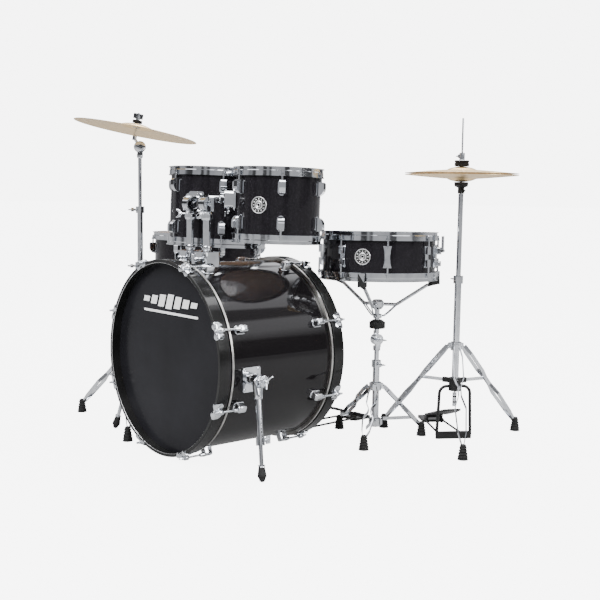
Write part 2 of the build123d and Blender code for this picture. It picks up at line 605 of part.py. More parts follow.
with BuildPart() as pedal_frame:
    ring(hat.offset(158), 20, 7.0, 17.5)
    ring(hat.offset(175.5), 20, LOWER_TUBE_R + 0.2, 24)
    for lug in around(hat, 3, HAT_FEET[1] - HAT_PEDAL_AT, 30, HAT_STRUT - 8):
        block(lug, 26, 12, 16, 3)
    for side in (1, -1):
        bent_rod([at_hat(0, side * 16, 172), at_hat(0, side * 50, 172), at_hat(0, side * 56, 12)], 5, 24)
        rod(at_hat(4, side * 40, 7), at_hat(HAT_HEEL, side * 30, 7), 3.5)
        local_block(hat, HAT_HEEL, side * 26, 0, 26, 8, 28, 3)
    local_block(hat, 0, 0, 0, 16, 118, 22, 4)
    local_block(hat, HAT_HEEL + 34, 0, 0, 78, 76, 9, 6)
    rod(at_hat(HAT_HEEL, -30, PEDAL_HINGE_Z), at_hat(HAT_HEEL, 30, PEDAL_HINGE_Z), 3)
save(pedal_frame, "hihat_pedal_frame")

def footboard(hinge, toe):
    """A ribbed board from its hinge barrel up to its toe, both given as points."""
    width, toe_width = BOARD_WIDTH, TOE_WIDTH
    along = (toe - hinge).normalized()
    length = (toe - hinge).length
    across = Vector(0, 0, 1).cross(along).normalized()
    board = Plane(hinge, x_dir=along, z_dir=along.cross(across))
    with BuildSketch(board.offset(1)) as outline:
        with BuildLine():
            Polyline((5, -17), (22, -17), (34, -width / 2), (length * 0.62, -width / 2),
                     (length, -toe_width / 2), (length, toe_width / 2), (length * 0.62, width / 2),
                     (34, width / 2), (22, 17), (5, 17), close=True)
        make_face()
    extrude(outline.sketch, amount=BOARD_T)
    for i in range(7):
        rib = board.from_local_coords((length * (0.2 + 0.1 * i), 0, BOARD_T))
        block(Plane(rib, x_dir=along, z_dir=board.z_dir), 6, width * 0.62, 3, 1.5)
    barrel = board.from_local_coords((0, -width * 0.26, 0))
    ring(Plane(barrel, z_dir=across), 6.2, 0, width * 0.52)
    pin_end = Plane(board.from_local_coords((0, -width, 0)), z_dir=across)
    ring(pin_end, 3 + FIT, 0, width * 2, Mode.SUBTRACT)


with BuildPart() as hat_board:
    footboard(at_hat(HAT_HEEL, 0, PEDAL_HINGE_Z), at_hat(-8, 0, PEDAL_TOE_Z))
save(hat_board, "hihat_footboard")

with BuildPart() as pull_rod:
    rod(at_hat(0, 0, 150), at_hat(0, 0, ROD_STEP), PULL_ROD_R - 0.2)
    rod(at_hat(0, 0, ROD_STEP), at_hat(0, 0, 1025), PULL_ROD_R)
    for i in range(5):
        z = CHAIN_FOOT + i * CHAIN_STEP
        local_block(hat, 0, 0, z, 4 if i % 2 else 9, 9 if i % 2 else 4, 10, 0.8)
save(pull_rod, "hihat_pull_rod")

with BuildPart() as hat_upper:
    rod(at_hat(0, 0, 330), at_hat(0, 0, 790), UPPER_TUBE_R, PULL_ROD_R + 1)
save(hat_upper, "hihat_upper_tube")

with BuildPart() as seat_cup:
    turned(hat.offset(790.2), (PULL_ROD_R + 1, 0), (10.5, 0), (10.5, 18), (20, 22), (22, 26), (22, 35.8),
           (PULL_ROD_R + 1, 35.8))
    wing_bolt(Plane(at_hat(-9, 0, 799), z_dir=-hat.x_dir), 6, 12)
save(seat_cup, "hihat_seat_cup")


def cymbal(base, radius, rise, bell_r, bell_h, bore):
    """A cymbal over the plane through its rim: a shallow bow that steps up into a bell."""
    def height(r):
        bow = (rise - bell_h) * (1 - (max(r, bell_r) / radius) ** 1.35)
        bow /= 1 - (bell_r / radius) ** 1.35
        bell = bell_h * max(0.0, 1 - (r / bell_r) ** 2) ** 0.8
        return bow + bell
    bell_steps = [bore + (bell_r - bore) * i / 6 for i in range(7)]
    bow_steps = [bell_r + (radius - bell_r) * i / 9 for i in range(1, 10)]
    upper = [(r, height(r) + CYMBAL_T / 2) for r in bell_steps + bow_steps]
    lower = [(r, height(r) - CYMBAL_T / 2) for r in reversed(bell_steps + bow_steps)]
    turned(base, *(upper + lower))


HAT_BELL = dict(radius=HAT_R, rise=HAT_RISE, bell_r=46.0, bell_h=10.0, bore=6.0)
with BuildPart() as bottom_hat:
    cymbal(flipped(hat.offset(HAT_EDGE)), **HAT_BELL)
save(bottom_hat, "hihat_bottom_cymbal")
with BuildPart() as top_hat:
    cymbal(hat.offset(HAT_EDGE + HAT_GAP), **HAT_BELL)
save(top_hat, "hihat_top_cymbal")

HAT_BELL_TOP = HAT_EDGE + HAT_GAP + HAT_RISE + CYMBAL_T / 2
with BuildPart() as clutch:
    turned(hat.offset(HAT_BELL_TOP + 0.6), (PULL_ROD_R + FIT, 0), (22, 0), (23, 2), (23, 9), (21, 11),
           (23, 13), (23, 17), (21, 19), (8.5, 19), (8.5, 42), (PULL_ROD_R + FIT, 42))
    wing_bolt(Plane(at_hat(7, 0, HAT_BELL_TOP + 33), z_dir=hat.x_dir), 16, 18)
    turned(hat.offset(HAT_BELL_TOP - 12), (PULL_ROD_R + FIT, 0), (5.6, 0), (5.6, 13),
           (PULL_ROD_R + FIT, 13))
    turned(hat.offset(HAT_BELL_TOP - 12), (PULL_ROD_R + FIT, 0), (13, 0), (13, 8), (PULL_ROD_R + FIT, 8))
save(clutch, "hihat_clutch")

# ---- crash cymbal ----
crash = upright(*CRASH_AT, 0, CRASH_DOWNHILL)
crash_back = spun(crash, 180)
with BuildPart() as crash_base:
    rod(crash.origin + Vector(0, 0, 60), crash.origin + Vector(0, 0, 524), CRASH_TUBE_R, CRASH_MID_R + FIT)
    collar(crash_back, 534, CRASH_MID_R + FIT, 17, 24)
    turn = CRASH_FEET[1] - CRASH_DOWNHILL
    leg_sockets(crash, turn, CRASH_COLLAR, CRASH_TUBE_R - 0.5, 30 - LEG_GAP)
    leg_sockets(crash, turn, CRASH_STRUT, CRASH_TUBE_R - 0.5, 26)
    tripod_legs(CRASH_AT, CRASH_FEET, CRASH_COLLAR, CRASH_STRUT, 30, 28)
save(crash_base, "crash_stand_base")

with BuildPart() as crash_middle:
    rod(crash.origin + Vector(0, 0, 330), crash.origin + Vector(0, 0, 712), CRASH_MID_R, CRASH_TOP_R + FIT)
    collar(crash_back, 722, CRASH_TOP_R + FIT, 14, 22)
save(crash_middle, "crash_stand_middle_tube")

crash_pivot = crash.from_local_coords((0, 0, CRASH_TILTER_Z))
with BuildPart() as crash_top:
    rod(crash.origin + Vector(0, 0, 560), crash_pivot - Vector(0, 0, 27), CRASH_TOP_R)
    turned(crash.offset(CRASH_TILTER_Z - 37), (0, 0), (9, 0), (10, 4), (10, 14), (0, 14))
    local_block(crash, 0, -5.2, CRASH_TILTER_Z - 27, 18, 9.8, 14)
    ring(Plane(crash_pivot - crash.y_dir * 0.2, z_dir=-crash.y_dir), CRASH_DISC_R, 0, 10)
    wing_bolt(Plane(crash_pivot - crash.y_dir * 9, z_dir=-crash.y_dir), 12, 32)
save(crash_top, "crash_stand_upper_tube")

pivot_plane = leaning(*CRASH_AT, CRASH_TILTER_Z, CRASH_LEAN, CRASH_DOWNHILL)
stem = Plane(crash_pivot - pivot_plane.x_dir * CRASH_SETBACK, x_dir=pivot_plane.x_dir, z_dir=pivot_plane.z_dir)
with BuildPart() as tilter:
    ring(Plane(crash_pivot + crash.y_dir * 0.2, z_dir=crash.y_dir), CRASH_DISC_R, 0, 10)
    rod(stem.from_local_coords((CRASH_SETBACK, 5.2, 0)), stem.from_local_coords((0, 5.2, 25)), 4.8)
    turned(stem.offset(18), (0, 0), (7, 0), (7, 14), (4, 16), (4, CRASH_SEAT + 36), (0, CRASH_SEAT + 36))
    ring(stem.offset(CRASH_SEAT + 5), 14, 0, 3)
    ring(stem.offset(CRASH_SEAT + 8), 13, 0, 8)
    ring(stem.offset(CRASH_SEAT + 20.6), 16, 0, 9)
    ring(stem.offset(CRASH_SEAT + 29.6), 6.5, 0, 15)
    block(stem.offset(CRASH_SEAT + 35), 32, 3.6, 17, 1.5)
save(tilter, "crash_tilter")

with BuildPart() as crash_cymbal:
    cymbal(stem.offset(CRASH_SEAT + 18 - CRASH_RISE), CRASH_R, CRASH_RISE, CRASH_BELL_R, CRASH_BELL_H, 5.5)
save(crash_cymbal, "crash_cymbal")


# ---- bass drum pedal ----
def at_kick(across, y, z):
    """A point beside the bass drum pedal's own line."""
    return spot(KICK_X + across, y, z)


kick = upright(KICK_X, 0, 0, 90)
with BuildPart() as kick_frame:
    local_block(kick, 268, 0, 0, 66, 108, 6, 8)
    local_block(kick, 224, 0, 13, 34, 40, 8, 3)
    local_block(kick, 240, 0, 5, 8, 40, 12)
    for side in (1, -1):
        local_block(kick, KICK_AXLE_Y, side * KICK_POST, 5, 22, 12, KICK_AXLE_Z + 8, 4)
        rod(at_kick(side * 34, 290, 8), at_kick(side * 30, KICK_HEEL_Y, 8), 3.5)
        local_block(kick, KICK_HEEL_Y, side * 26, 0, 26, 8, 28, 3)
    rod(at_kick(-60, KICK_AXLE_Y, KICK_AXLE_Z), at_kick(60, KICK_AXLE_Y, KICK_AXLE_Z), AXLE_R + FIT,
        mode=Mode.SUBTRACT)
    local_block(kick, KICK_HEEL_Y + 34, 0, 0, 78, 80, 9, 6)
    rod(at_kick(-30, KICK_HEEL_Y, PEDAL_HINGE_Z), at_kick(30, KICK_HEEL_Y, PEDAL_HINGE_Z), 3)
save(kick_frame, "kick_pedal_frame")

with BuildPart() as kick_board:
    footboard(at_kick(0, KICK_HEEL_Y, PEDAL_HINGE_Z), at_kick(0, KICK_TOE_Y, PEDAL_TOE_Z))
    for i in range(8):
        z = PEDAL_TOE_Z + 4 + i * CHAIN_STEP
        local_block(kick, KICK_AXLE_Y + CAM_R + 8, 0, z, 4 if i % 2 else 7, 9, 10, 0.8)
save(kick_board, "kick_pedal_footboard")

shaft = Plane(at_kick(0, KICK_AXLE_Y, KICK_AXLE_Z), x_dir=(1, 0, 0),
              z_dir=(0, sin(radians(BEATER_LEAN)), cos(radians(BEATER_LEAN))))
with BuildPart() as beater:
    rod(at_kick(-52, KICK_AXLE_Y, KICK_AXLE_Z), at_kick(52, KICK_AXLE_Y, KICK_AXLE_Z), AXLE_R)
    ring(Plane(at_kick(-9, KICK_AXLE_Y, KICK_AXLE_Z), z_dir=(1, 0, 0)), CAM_R, 0, 18)
    rod(shaft.origin, shaft.from_local_coords((0, 0, BEATER_AT + 8)), 4)
    rod(shaft.from_local_coords((0, -BEATER_LENGTH / 2, BEATER_AT)),
        shaft.from_local_coords((0, BEATER_LENGTH / 2, BEATER_AT)), BEATER_R)
save(beater, "kick_pedal_beater")
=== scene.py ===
import bmesh
import bpy
import json
import math
import numpy as np
from mathutils import Matrix, Vector


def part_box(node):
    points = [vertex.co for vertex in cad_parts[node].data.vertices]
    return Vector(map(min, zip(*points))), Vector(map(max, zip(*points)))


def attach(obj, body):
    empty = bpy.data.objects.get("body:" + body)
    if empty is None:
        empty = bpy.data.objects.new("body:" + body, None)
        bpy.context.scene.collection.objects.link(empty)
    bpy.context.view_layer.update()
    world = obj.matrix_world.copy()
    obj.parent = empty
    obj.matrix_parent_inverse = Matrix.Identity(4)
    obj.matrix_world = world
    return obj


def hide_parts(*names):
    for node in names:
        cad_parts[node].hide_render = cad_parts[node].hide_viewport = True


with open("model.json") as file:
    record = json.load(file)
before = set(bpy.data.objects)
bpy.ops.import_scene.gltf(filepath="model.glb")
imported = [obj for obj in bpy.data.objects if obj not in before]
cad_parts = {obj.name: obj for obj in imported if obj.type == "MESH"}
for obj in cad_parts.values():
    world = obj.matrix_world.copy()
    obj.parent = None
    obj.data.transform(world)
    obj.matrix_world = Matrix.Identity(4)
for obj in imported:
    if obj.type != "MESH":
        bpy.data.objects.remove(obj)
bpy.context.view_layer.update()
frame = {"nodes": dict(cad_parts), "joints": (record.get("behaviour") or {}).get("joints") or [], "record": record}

NODES = frame["nodes"]
JOINTS = {joint["name"]: joint for joint in frame["joints"]}

# ---- camera, floor and light ----
CAMERA_AT = Vector((2.5107, -2.1042, 0.7841))
CAMERA_YAW, CAMERA_DOWN, CAMERA_ROLL = 0.84695, 0.11039, 0.01384
LENS_MM = 57.8
WHITE_ROOM = 6.5
# height in the studio from 0 below to 1 above, and the brightness that reflections find there
STUDIO_STOPS = ((0.0, 0.3), (0.46, 0.22), (0.50, 0.36), (0.56, 0.26), (0.62, 0.12), (0.70, 1.4), (1.0, 2.0))
FLOOR_HALF, FLOOR_DROP = 60.0, 0.0005


def add_camera():
    ahead = Vector((-math.sin(CAMERA_YAW) * math.cos(CAMERA_DOWN),
                    math.cos(CAMERA_YAW) * math.cos(CAMERA_DOWN), -math.sin(CAMERA_DOWN)))
    level = Vector((math.cos(CAMERA_YAW), math.sin(CAMERA_YAW), 0.0))
    upright = level.cross(ahead)
    right = level * math.cos(CAMERA_ROLL) + upright * math.sin(CAMERA_ROLL)
    up = upright * math.cos(CAMERA_ROLL) - level * math.sin(CAMERA_ROLL)
    data = bpy.data.cameras.new("camera")
    data.lens = LENS_MM
    data.sensor_width = 36.0
    data.clip_end = 200.0
    camera = bpy.data.objects.new("camera", data)
    bpy.context.scene.collection.objects.link(camera)
    camera.matrix_world = Matrix((
        (right.x, up.x, -ahead.x, CAMERA_AT.x),
        (right.y, up.y, -ahead.y, CAMERA_AT.y),
        (right.z, up.z, -ahead.z, CAMERA_AT.z),
        (0, 0, 0, 1)))
    bpy.context.scene.camera = camera


def add_world():
    """A white room for the camera, and a studio of soft boxes and dark flags for reflections."""
    world = bpy.data.worlds.new("studio")
    bpy.context.scene.world = world
    world.use_nodes = True
    nodes, links = world.node_tree.nodes, world.node_tree.links
    nodes.clear()
    output = nodes.new("ShaderNodeOutputWorld")
    mix = nodes.new("ShaderNodeMixShader")
    seen = nodes.new("ShaderNodeBackground")
    seen.inputs["Color"].default_value = (1, 1, 1, 1)
    seen.inputs["Strength"].default_value = WHITE_ROOM
    studio = nodes.new("ShaderNodeBackground")
    studio.inputs["Strength"].default_value = 1.0
    path = nodes.new("ShaderNodeLightPath")
    coords = nodes.new("ShaderNodeTexCoord")
    split = nodes.new("ShaderNodeSeparateXYZ")
    height = nodes.new("ShaderNodeMapRange")
    height.inputs["From Min"].default_value = -1.0
    height.inputs["From Max"].default_value = 1.0
    ramp = nodes.new("ShaderNodeValToRGB")
    for i, (place, value) in enumerate(STUDIO_STOPS):
        stop = ramp.color_ramp.elements[i] if i < 2 else ramp.color_ramp.elements.new(place)
        stop.position = place
        stop.color = (value, value, value * 1.01, 1)
    links.new(coords.outputs["Generated"], split.inputs[0])
    links.new(split.outputs["Z"], height.inputs["Value"])
    links.new(height.outputs["Result"], ramp.inputs["Fac"])
    patches = nodes.new("ShaderNodeTexNoise")
    patches.inputs["Scale"].default_value = 3.4
    patches.inputs["Detail"].default_value = 0.0
    contrast = nodes.new("ShaderNodeValToRGB")
    contrast.color_ramp.elements[0].position = 0.45
    contrast.color_ramp.elements[0].color = (0.22, 0.22, 0.225, 1)
    contrast.color_ramp.elements[1].position = 0.53
    contrast.color_ramp.elements[1].color = (1.65, 1.66, 1.70, 1)
    panels = nodes.new("ShaderNodeMix")
    panels.data_type = "RGBA"
    panels.blend_type = "MULTIPLY"
    panels.inputs["Factor"].default_value = 1.0
    links.new(coords.outputs["Generated"], patches.inputs["Vector"])
    links.new(patches.outputs["Fac"], contrast.inputs["Fac"])
    links.new(ramp.outputs["Color"], panels.inputs["A"])
    links.new(contrast.outputs["Color"], panels.inputs["B"])
    links.new(panels.outputs["Result"], studio.inputs["Color"])
    links.new(path.outputs["Is Camera Ray"], mix.inputs["Fac"])
    links.new(studio.outputs[0], mix.inputs[1])
    links.new(seen.outputs[0], mix.inputs[2])
    links.new(mix.outputs[0], output.inputs["Surface"])


def add_light(name, place, target, size, energy):
    data = bpy.data.lights.new(name, "AREA")
    data.shape = "RECTANGLE"
    data.size, data.size_y = size
    data.energy = energy
    light = bpy.data.objects.new(name, data)
    light.location = place
    aim = Vector(target) - Vector(place)
    light.rotation_euler = aim.to_track_quat("-Z", "Y").to_euler()
    bpy.context.scene.collection.objects.link(light)


def add_floor():
    mesh = bpy.data.meshes.new("floor")
    corners = ((-1, -1), (1, -1), (1, 1), (-1, 1))
    mesh.from_pydata([(x * FLOOR_HALF, y * FLOOR_HALF, 0) for x, y in corners], [], [(0, 1, 2, 3)])
    floor = bpy.data.objects.new("floor", mesh)
    floor.location.z = -FLOOR_DROP
    bpy.context.scene.collection.objects.link(floor)
    mesh.materials.append(floor_paper())


# ---- materials ----
class Look:
    """A node material built round one Principled shader."""

    def __init__(self, name, color, rough, metal=0.0):
        self.material = bpy.data.materials.new(name)
        self.material.use_nodes = True
        self.nodes = self.material.node_tree.nodes
        self.links = self.material.node_tree.links
        self.shader = self.nodes["Principled BSDF"]
        self.set("Base Color", (*color, 1))
        self.set("Roughness", rough)
        self.set("Metallic", metal)
        self.coords = self.nodes.new("ShaderNodeTexCoord").outputs["Object"]

    def set(self, socket, value):
        self.shader.inputs[socket].default_value = value

    def quieten(self, level):
        """Less reflection from the base coat, for deep blacks."""
        self.set("Specular IOR Level", level)

    def node(self, kind, **inputs):
        made = self.nodes.new(kind)
        for key, value in inputs.items():
            made.inputs[key.replace("_", " ")].default_value = value
        return made

    def noise(self, scale, detail=4.0, stretch=(1, 1, 1)):
        """Noise over the surface in metres, optionally stretched."""
        mapping = self.node("ShaderNodeMapping")
        mapping.inputs["Scale"].default_value = stretch
        self.links.new(self.coords, mapping.inputs["Vector"])
        made = self.node("ShaderNodeTexNoise", Scale=scale, Detail=detail)
        self.links.new(mapping.outputs[0], made.inputs["Vector"])
        return made.outputs["Fac"]

    def ramp(self, source, stops):
        made = self.nodes.new("ShaderNodeValToRGB")
        for i, (place, color) in enumerate(stops):
            stop = made.color_ramp.elements[i] if i < 2 else made.color_ramp.elements.new(place)
            stop.position = place
            stop.color = (*color, 1)
        self.links.new(source, made.inputs["Fac"])
        return made.outputs["Color"]

    def between(self, source, low, high):
        """The source from 0 to 1, mapped from low to high."""
        made = self.node("ShaderNodeMapRange", To_Min=low, To_Max=high)
        self.links.new(source, made.inputs["Value"])
        return made.outputs["Result"]

    def feed(self, source, socket):
        self.links.new(source, self.shader.inputs[socket])

    def bump(self, source, strength, distance, after=None):
        made = self.node("ShaderNodeBump", Strength=strength, Distance=distance)
        self.links.new(source, made.inputs["Height"])
        if after:
            self.links.new(after, made.inputs["Normal"])
        self.links.new(made.outputs["Normal"], self.shader.inputs["Normal"])
        return made.outputs["Normal"]


def grey(value):
    return (value, value, value)


def floor_paper():
    look = Look("floor_paper", grey(0.22), 0.8)
    look.set("Emission Color", (1, 1, 1, 1))
    path = look.nodes.new("ShaderNodeLightPath")
    look.feed(look.between(path.outputs["Is Camera Ray"], 0.22, 6.4), "Emission Strength")
    look.bump(look.noise(60), 0.05, 0.001)
    return look.material


def sparkle_wrap():
    """Gloss black wrap with fine metal flake under a clear coat."""
    look = Look("sparkle_wrap", grey(0.010), 0.16)
    flakes = look.node("ShaderNodeTexVoronoi", Scale=2600.0)
    look.links.new(look.coords, flakes.inputs["Vector"])
    tone = look.nodes.new("ShaderNodeSeparateColor")
    look.links.new(flakes.outputs["Color"], tone.inputs[0])
    flake_tones = ((0.0, grey(0.004)), (0.80, (0.008, 0.007, 0.009)), (0.97, (0.022, 0.020, 0.025)),
                   (1.0, (0.10, 0.09, 0.11)))
    look.feed(look.ramp(tone.outputs["Red"], flake_tones), "Base Color")
    look.feed(look.between(look.noise(9, 3), 0.13, 0.24), "Roughness")
    look.quieten(0.06)
    look.set("Coat Weight", 0.7)
    look.set("Coat IOR", 1.28)
    look.set("Coat Roughness", 0.02)
    look.bump(look.noise(420, 2), 0.012, 0.0003)
    return look.material


def gloss_wrap():
    """Mirror-gloss black on the bass drum shell."""
    look = Look("gloss_wrap", grey(0.006), 0.2)
    tones = ((0.4, (0.005, 0.0045, 0.005)), (0.8, (0.010, 0.009, 0.010)))
    look.feed(look.ramp(look.noise(1400, 2), tones), "Base Color")
    look.feed(look.between(look.noise(7, 3), 0.10, 0.2), "Roughness")
    look.quieten(0.05)
    look.set("Coat Weight", 0.9)
    look.set("Coat IOR", 1.34)
    look.set("Coat Roughness", 0.008)
    look.bump(look.noise(5, 2), 0.006, 0.001)
    return look.material


def silver_print():
    look = Look("silver_print", (0.72, 0.73, 0.74), 0.3, 0.85)
    look.feed(look.ramp(look.noise(500, 4), ((0.3, grey(0.62)), (0.7, grey(0.82)))), "Base Color")
    look.bump(look.noise(900, 2), 0.06, 0.0002)
    return look.material


def white_print():
    look = Look("white_print", grey(0.85), 0.4)
    look.feed(look.ramp(look.noise(200, 4), ((0.3, grey(0.80)), (0.7, grey(0.90)))), "Base Color")
    look.bump(look.noise(1200, 2), 0.08, 0.0002)
    return look.material


def gloss_lacquer():
    look = Look("gloss_lacquer", grey(0.010), 0.12)
    look.feed(look.ramp(look.noise(14), ((0.3, grey(0.007)), (0.7, grey(0.014)))), "Base Color")
    look.feed(look.between(look.noise(30), 0.07, 0.17), "Roughness")
    look.quieten(0.15)
    look.set("Coat Weight", 0.4)
    look.set("Coat IOR", 1.28)
    look.set("Coat Roughness", 0.03)
    look.bump(look.noise(25, 2), 0.03, 0.001)
    return look.material


def dark_film():
    """Satin charcoal drumhead with the faint mottling of a matt film."""
    look = Look("dark_film", (0.010, 0.010, 0.012), 0.3)
    tones = ((0.3, (0.0085, 0.0085, 0.010)), (0.7, (0.013, 0.013, 0.0155)))
    look.feed(look.ramp(look.noise(7, 6), tones), "Base Color")
    look.feed(look.between(look.noise(260, 3), 0.16, 0.26), "Roughness")
    look.quieten(0.09)
    look.bump(look.noise(900, 2), 0.06, 0.0003)
    return look.material


def clear_film():
    look = Look("clear_film", (0.86, 0.88, 0.9), 0.08)
    look.feed(look.between(look.noise(12), 0.04, 0.14), "Roughness")
    look.set("Alpha", 0.22)
    look.bump(look.noise(300, 2), 0.02, 0.0003)
    return look.material


def coated_film():
    look = Look("coated_film", grey(0.8), 0.6)
    look.feed(look.ramp(look.noise(400, 4), ((0.35, grey(0.70)), (0.65, grey(0.84)))), "Base Color")
    look.bump(look.noise(1500, 3), 0.3, 0.0004)
    return look.material


def chrome():
    look = Look("chrome", (0.68, 0.70, 0.73), 0.06, 1.0)
    look.feed(look.ramp(look.noise(35, 4), ((0.3, (0.60, 0.62, 0.65)), (0.7, (0.76, 0.775, 0.80)))),
              "Base Color")
    look.feed(look.between(look.noise(70, 5), 0.03, 0.12), "Roughness")
    look.bump(look.noise(220, 2), 0.025, 0.0004)
    return look.material


def dark_chrome():
    """Smoked plating for the ratchet faces."""
    look = Look("dark_chrome", (0.20, 0.21, 0.22), 0.12, 1.0)
    look.feed(look.ramp(look.noise(45, 4), ((0.3, (0.13, 0.135, 0.14)), (0.7, (0.26, 0.265, 0.28)))),
              "Base Color")
    look.feed(look.between(look.noise(90, 4), 0.08, 0.2), "Roughness")
    look.bump(look.noise(260, 2), 0.04, 0.0004)
    return look.material


def aluminium():
    look = Look("aluminium", (0.50, 0.49, 0.47), 0.3, 1.0)
    look.feed(look.between(look.noise(300, 4), 0.22, 0.38), "Roughness")
    look.feed(look.ramp(look.noise(60, 4), ((0.3, (0.42, 0.41, 0.39)), (0.7, (0.56, 0.55, 0.53)))),
              "Base Color")
    look.bump(look.noise(600, 2), 0.08, 0.0003)
    return look.material


def black_metal():
    look = Look("black_metal", grey(0.010), 0.38)
    look.quieten(0.3)
    look.feed(look.ramp(look.noise(50, 5), ((0.3, grey(0.005)), (0.75, grey(0.012)))), "Base Color")
    look.feed(look.between(look.noise(160, 4), 0.3, 0.5), "Roughness")
    look.bump(look.noise(800, 3), 0.12, 0.0004)
    return look.material


def black_plastic():
    look = Look("black_plastic", grey(0.008), 0.45)
    look.quieten(0.3)
    look.feed(look.ramp(look.noise(80, 4), ((0.3, grey(0.005)), (0.7, grey(0.011)))), "Base Color")
    look.bump(look.noise(1200, 3), 0.1, 0.0003)
    return look.material


def rubber():
    look = Look("rubber", grey(0.010), 0.72)
    look.quieten(0.25)
    look.feed(look.ramp(look.noise(45, 5), ((0.3, grey(0.005)), (0.75, grey(0.015)))), "Base Color")
    look.bump(look.noise(700, 4), 0.25, 0.0006)
    return look.material


def felt():
    look = Look("felt", (0.62, 0.60, 0.57), 0.95)
    look.feed(look.ramp(look.noise(260, 6), ((0.3, (0.48, 0.47, 0.44)), (0.7, (0.74, 0.72, 0.69)))),
              "Base Color")
    look.set("Sheen Weight", 0.5)
    look.bump(look.noise(1400, 6), 0.6, 0.0010)
    return look.material


def black_felt():
    look = Look("black_felt", grey(0.006), 0.95)
    look.quieten(0.1)
    look.feed(look.ramp(look.noise(320, 6), ((0.3, grey(0.003)), (0.7, grey(0.010)))), "Base Color")
    look.set("Sheen Weight", 0.03)
    look.bump(look.noise(1400, 6), 0.6, 0.0008)
    return look.material


def wood():
    """Pale brown ply inside the shells, with its grain round the drum."""
    look = Look("wood", (0.36, 0.20, 0.10), 0.5)
    grain = look.noise(22, 7, (1, 1, 9))
    look.feed(look.ramp(grain, ((0.3, (0.20, 0.10, 0.045)), (0.5, (0.32, 0.18, 0.085)),
                                (0.72, (0.44, 0.27, 0.14)))), "Base Color")
    look.feed(look.between(look.noise(60), 0.4, 0.6), "Roughness")
    look.bump(grain, 0.15, 0.0006)
    return look.material


def steel_wire():
    look = Look("steel_wire", grey(0.55), 0.3, 1.0)
    wave = look.node("ShaderNodeTexWave", Scale=700.0, Distortion=0.2)
    look.links.new(look.coords, wave.inputs["Vector"])
    look.feed(look.ramp(wave.outputs["Fac"], ((0.1, grey(0.25)), (0.8, grey(0.7)))), "Base Color")
    look.bump(wave.outputs["Fac"], 0.6, 0.0006)
    return look.material


def cymbal_bronze(name, centre, normal):
    """Lathed bronze: fine rings about the cymbal's own axis, with soft tonal bands."""
    look = Look(name, (0.72, 0.58, 0.36), 0.28, 1.0)
    place = look.node("ShaderNodeVectorMath")
    place.operation = "SUBTRACT"
    place.inputs[1].default_value = centre
    look.links.new(look.coords, place.inputs[0])
    off_axis = look.node("ShaderNodeVectorMath")
    off_axis.operation = "CROSS_PRODUCT"
    off_axis.inputs[1].default_value = normal
    look.links.new(place.outputs["Vector"], off_axis.inputs[0])
    radius = look.node("ShaderNodeVectorMath")
    radius.operation = "LENGTH"
    look.links.new(off_axis.outputs["Vector"], radius.inputs[0])
    rings = look.nodes.new("ShaderNodeTexNoise")
    rings.noise_dimensions = "1D"
    rings.inputs["Scale"].default_value = 900.0
    rings.inputs["Detail"].default_value = 5.0
    look.links.new(radius.outputs["Value"], rings.inputs["W"])
    bands = look.nodes.new("ShaderNodeTexNoise")
    bands.noise_dimensions = "1D"
    bands.inputs["Scale"].default_value = 90.0
    look.links.new(radius.outputs["Value"], bands.inputs["W"])
    look.feed(look.ramp(bands.outputs["Fac"], ((0.3, (0.86, 0.59, 0.28)), (0.5, (0.94, 0.69, 0.36)),
                                               (0.7, (0.98, 0.76, 0.43)))), "Base Color")
    look.feed(look.between(rings.outputs["Fac"], 0.2, 0.42), "Roughness")
    fine = look.bump(rings.outputs["Fac"], 0.5, 0.0005)
    look.bump(look.noise(55, 2), 0.08, 0.002, after=fine)
    return look.material


LOOKS = {
    "wrap": sparkle_wrap(), "lacquer": gloss_lacquer(), "dark_film": dark_film(),
    "clear_film": clear_film(), "coated_film": coated_film(), "chrome": chrome(),
    "aluminium": aluminium(), "black_metal": black_metal(), "black_plastic": black_plastic(),
    "rubber": rubber(), "felt": felt(), "black_felt": black_felt(), "wood": wood(),
    "wire": steel_wire(), "gloss_wrap": gloss_wrap(), "silver_print": silver_print(),
    "white_print": white_print(), "dark_chrome": dark_chrome()}
SLOT_LOOKS = {
    "black_wrap": "wrap", "black_lacquer": "lacquer", "dark_film": "dark_film",
    "clear_film": "clear_film", "chrome": "chrome", "snare_wire": "wire",
    "black_metal": "black_metal", "black_plastic": "black_plastic", "felt": "felt",
    "bronze": "chrome"}                      # each cymbal gets its own bronze in finish_nodes
FOOT_TOP = 0.0465                            # the top of the tripods' rubber feet
FLOOR_TOM_FOOT_TOP, SPUR_FOOT_TOP = 0.0405, 0.0415
SKIN = 0.003                                 # the outer layer of a shell
FLESH_HOOP_OUT = 0.002                       # a head's metal hoop lies this far outside the shell


def dress_nodes():
    """Every CAD node takes the look of its material slot."""
    slots = {part["node"]: part["material_slot"] for part in frame["record"]["subparts"]}
    for name, node in NODES.items():
        node.data.materials.clear()
        node.data.materials.append(LOOKS[SLOT_LOOKS[slots[name]]])


# ---- reading places off the CAD ----
def vertices_of(name):
    mesh = NODES[name].data
    flat = np.empty(len(mesh.vertices) * 3)
    mesh.vertices.foreach_get("co", flat)
    return flat.reshape(-1, 3)


def centres_of(name):
    mesh = NODES[name].data
    flat = np.empty(len(mesh.polygons) * 3)
    mesh.polygons.foreach_get("center", flat)
    return flat.reshape(-1, 3)


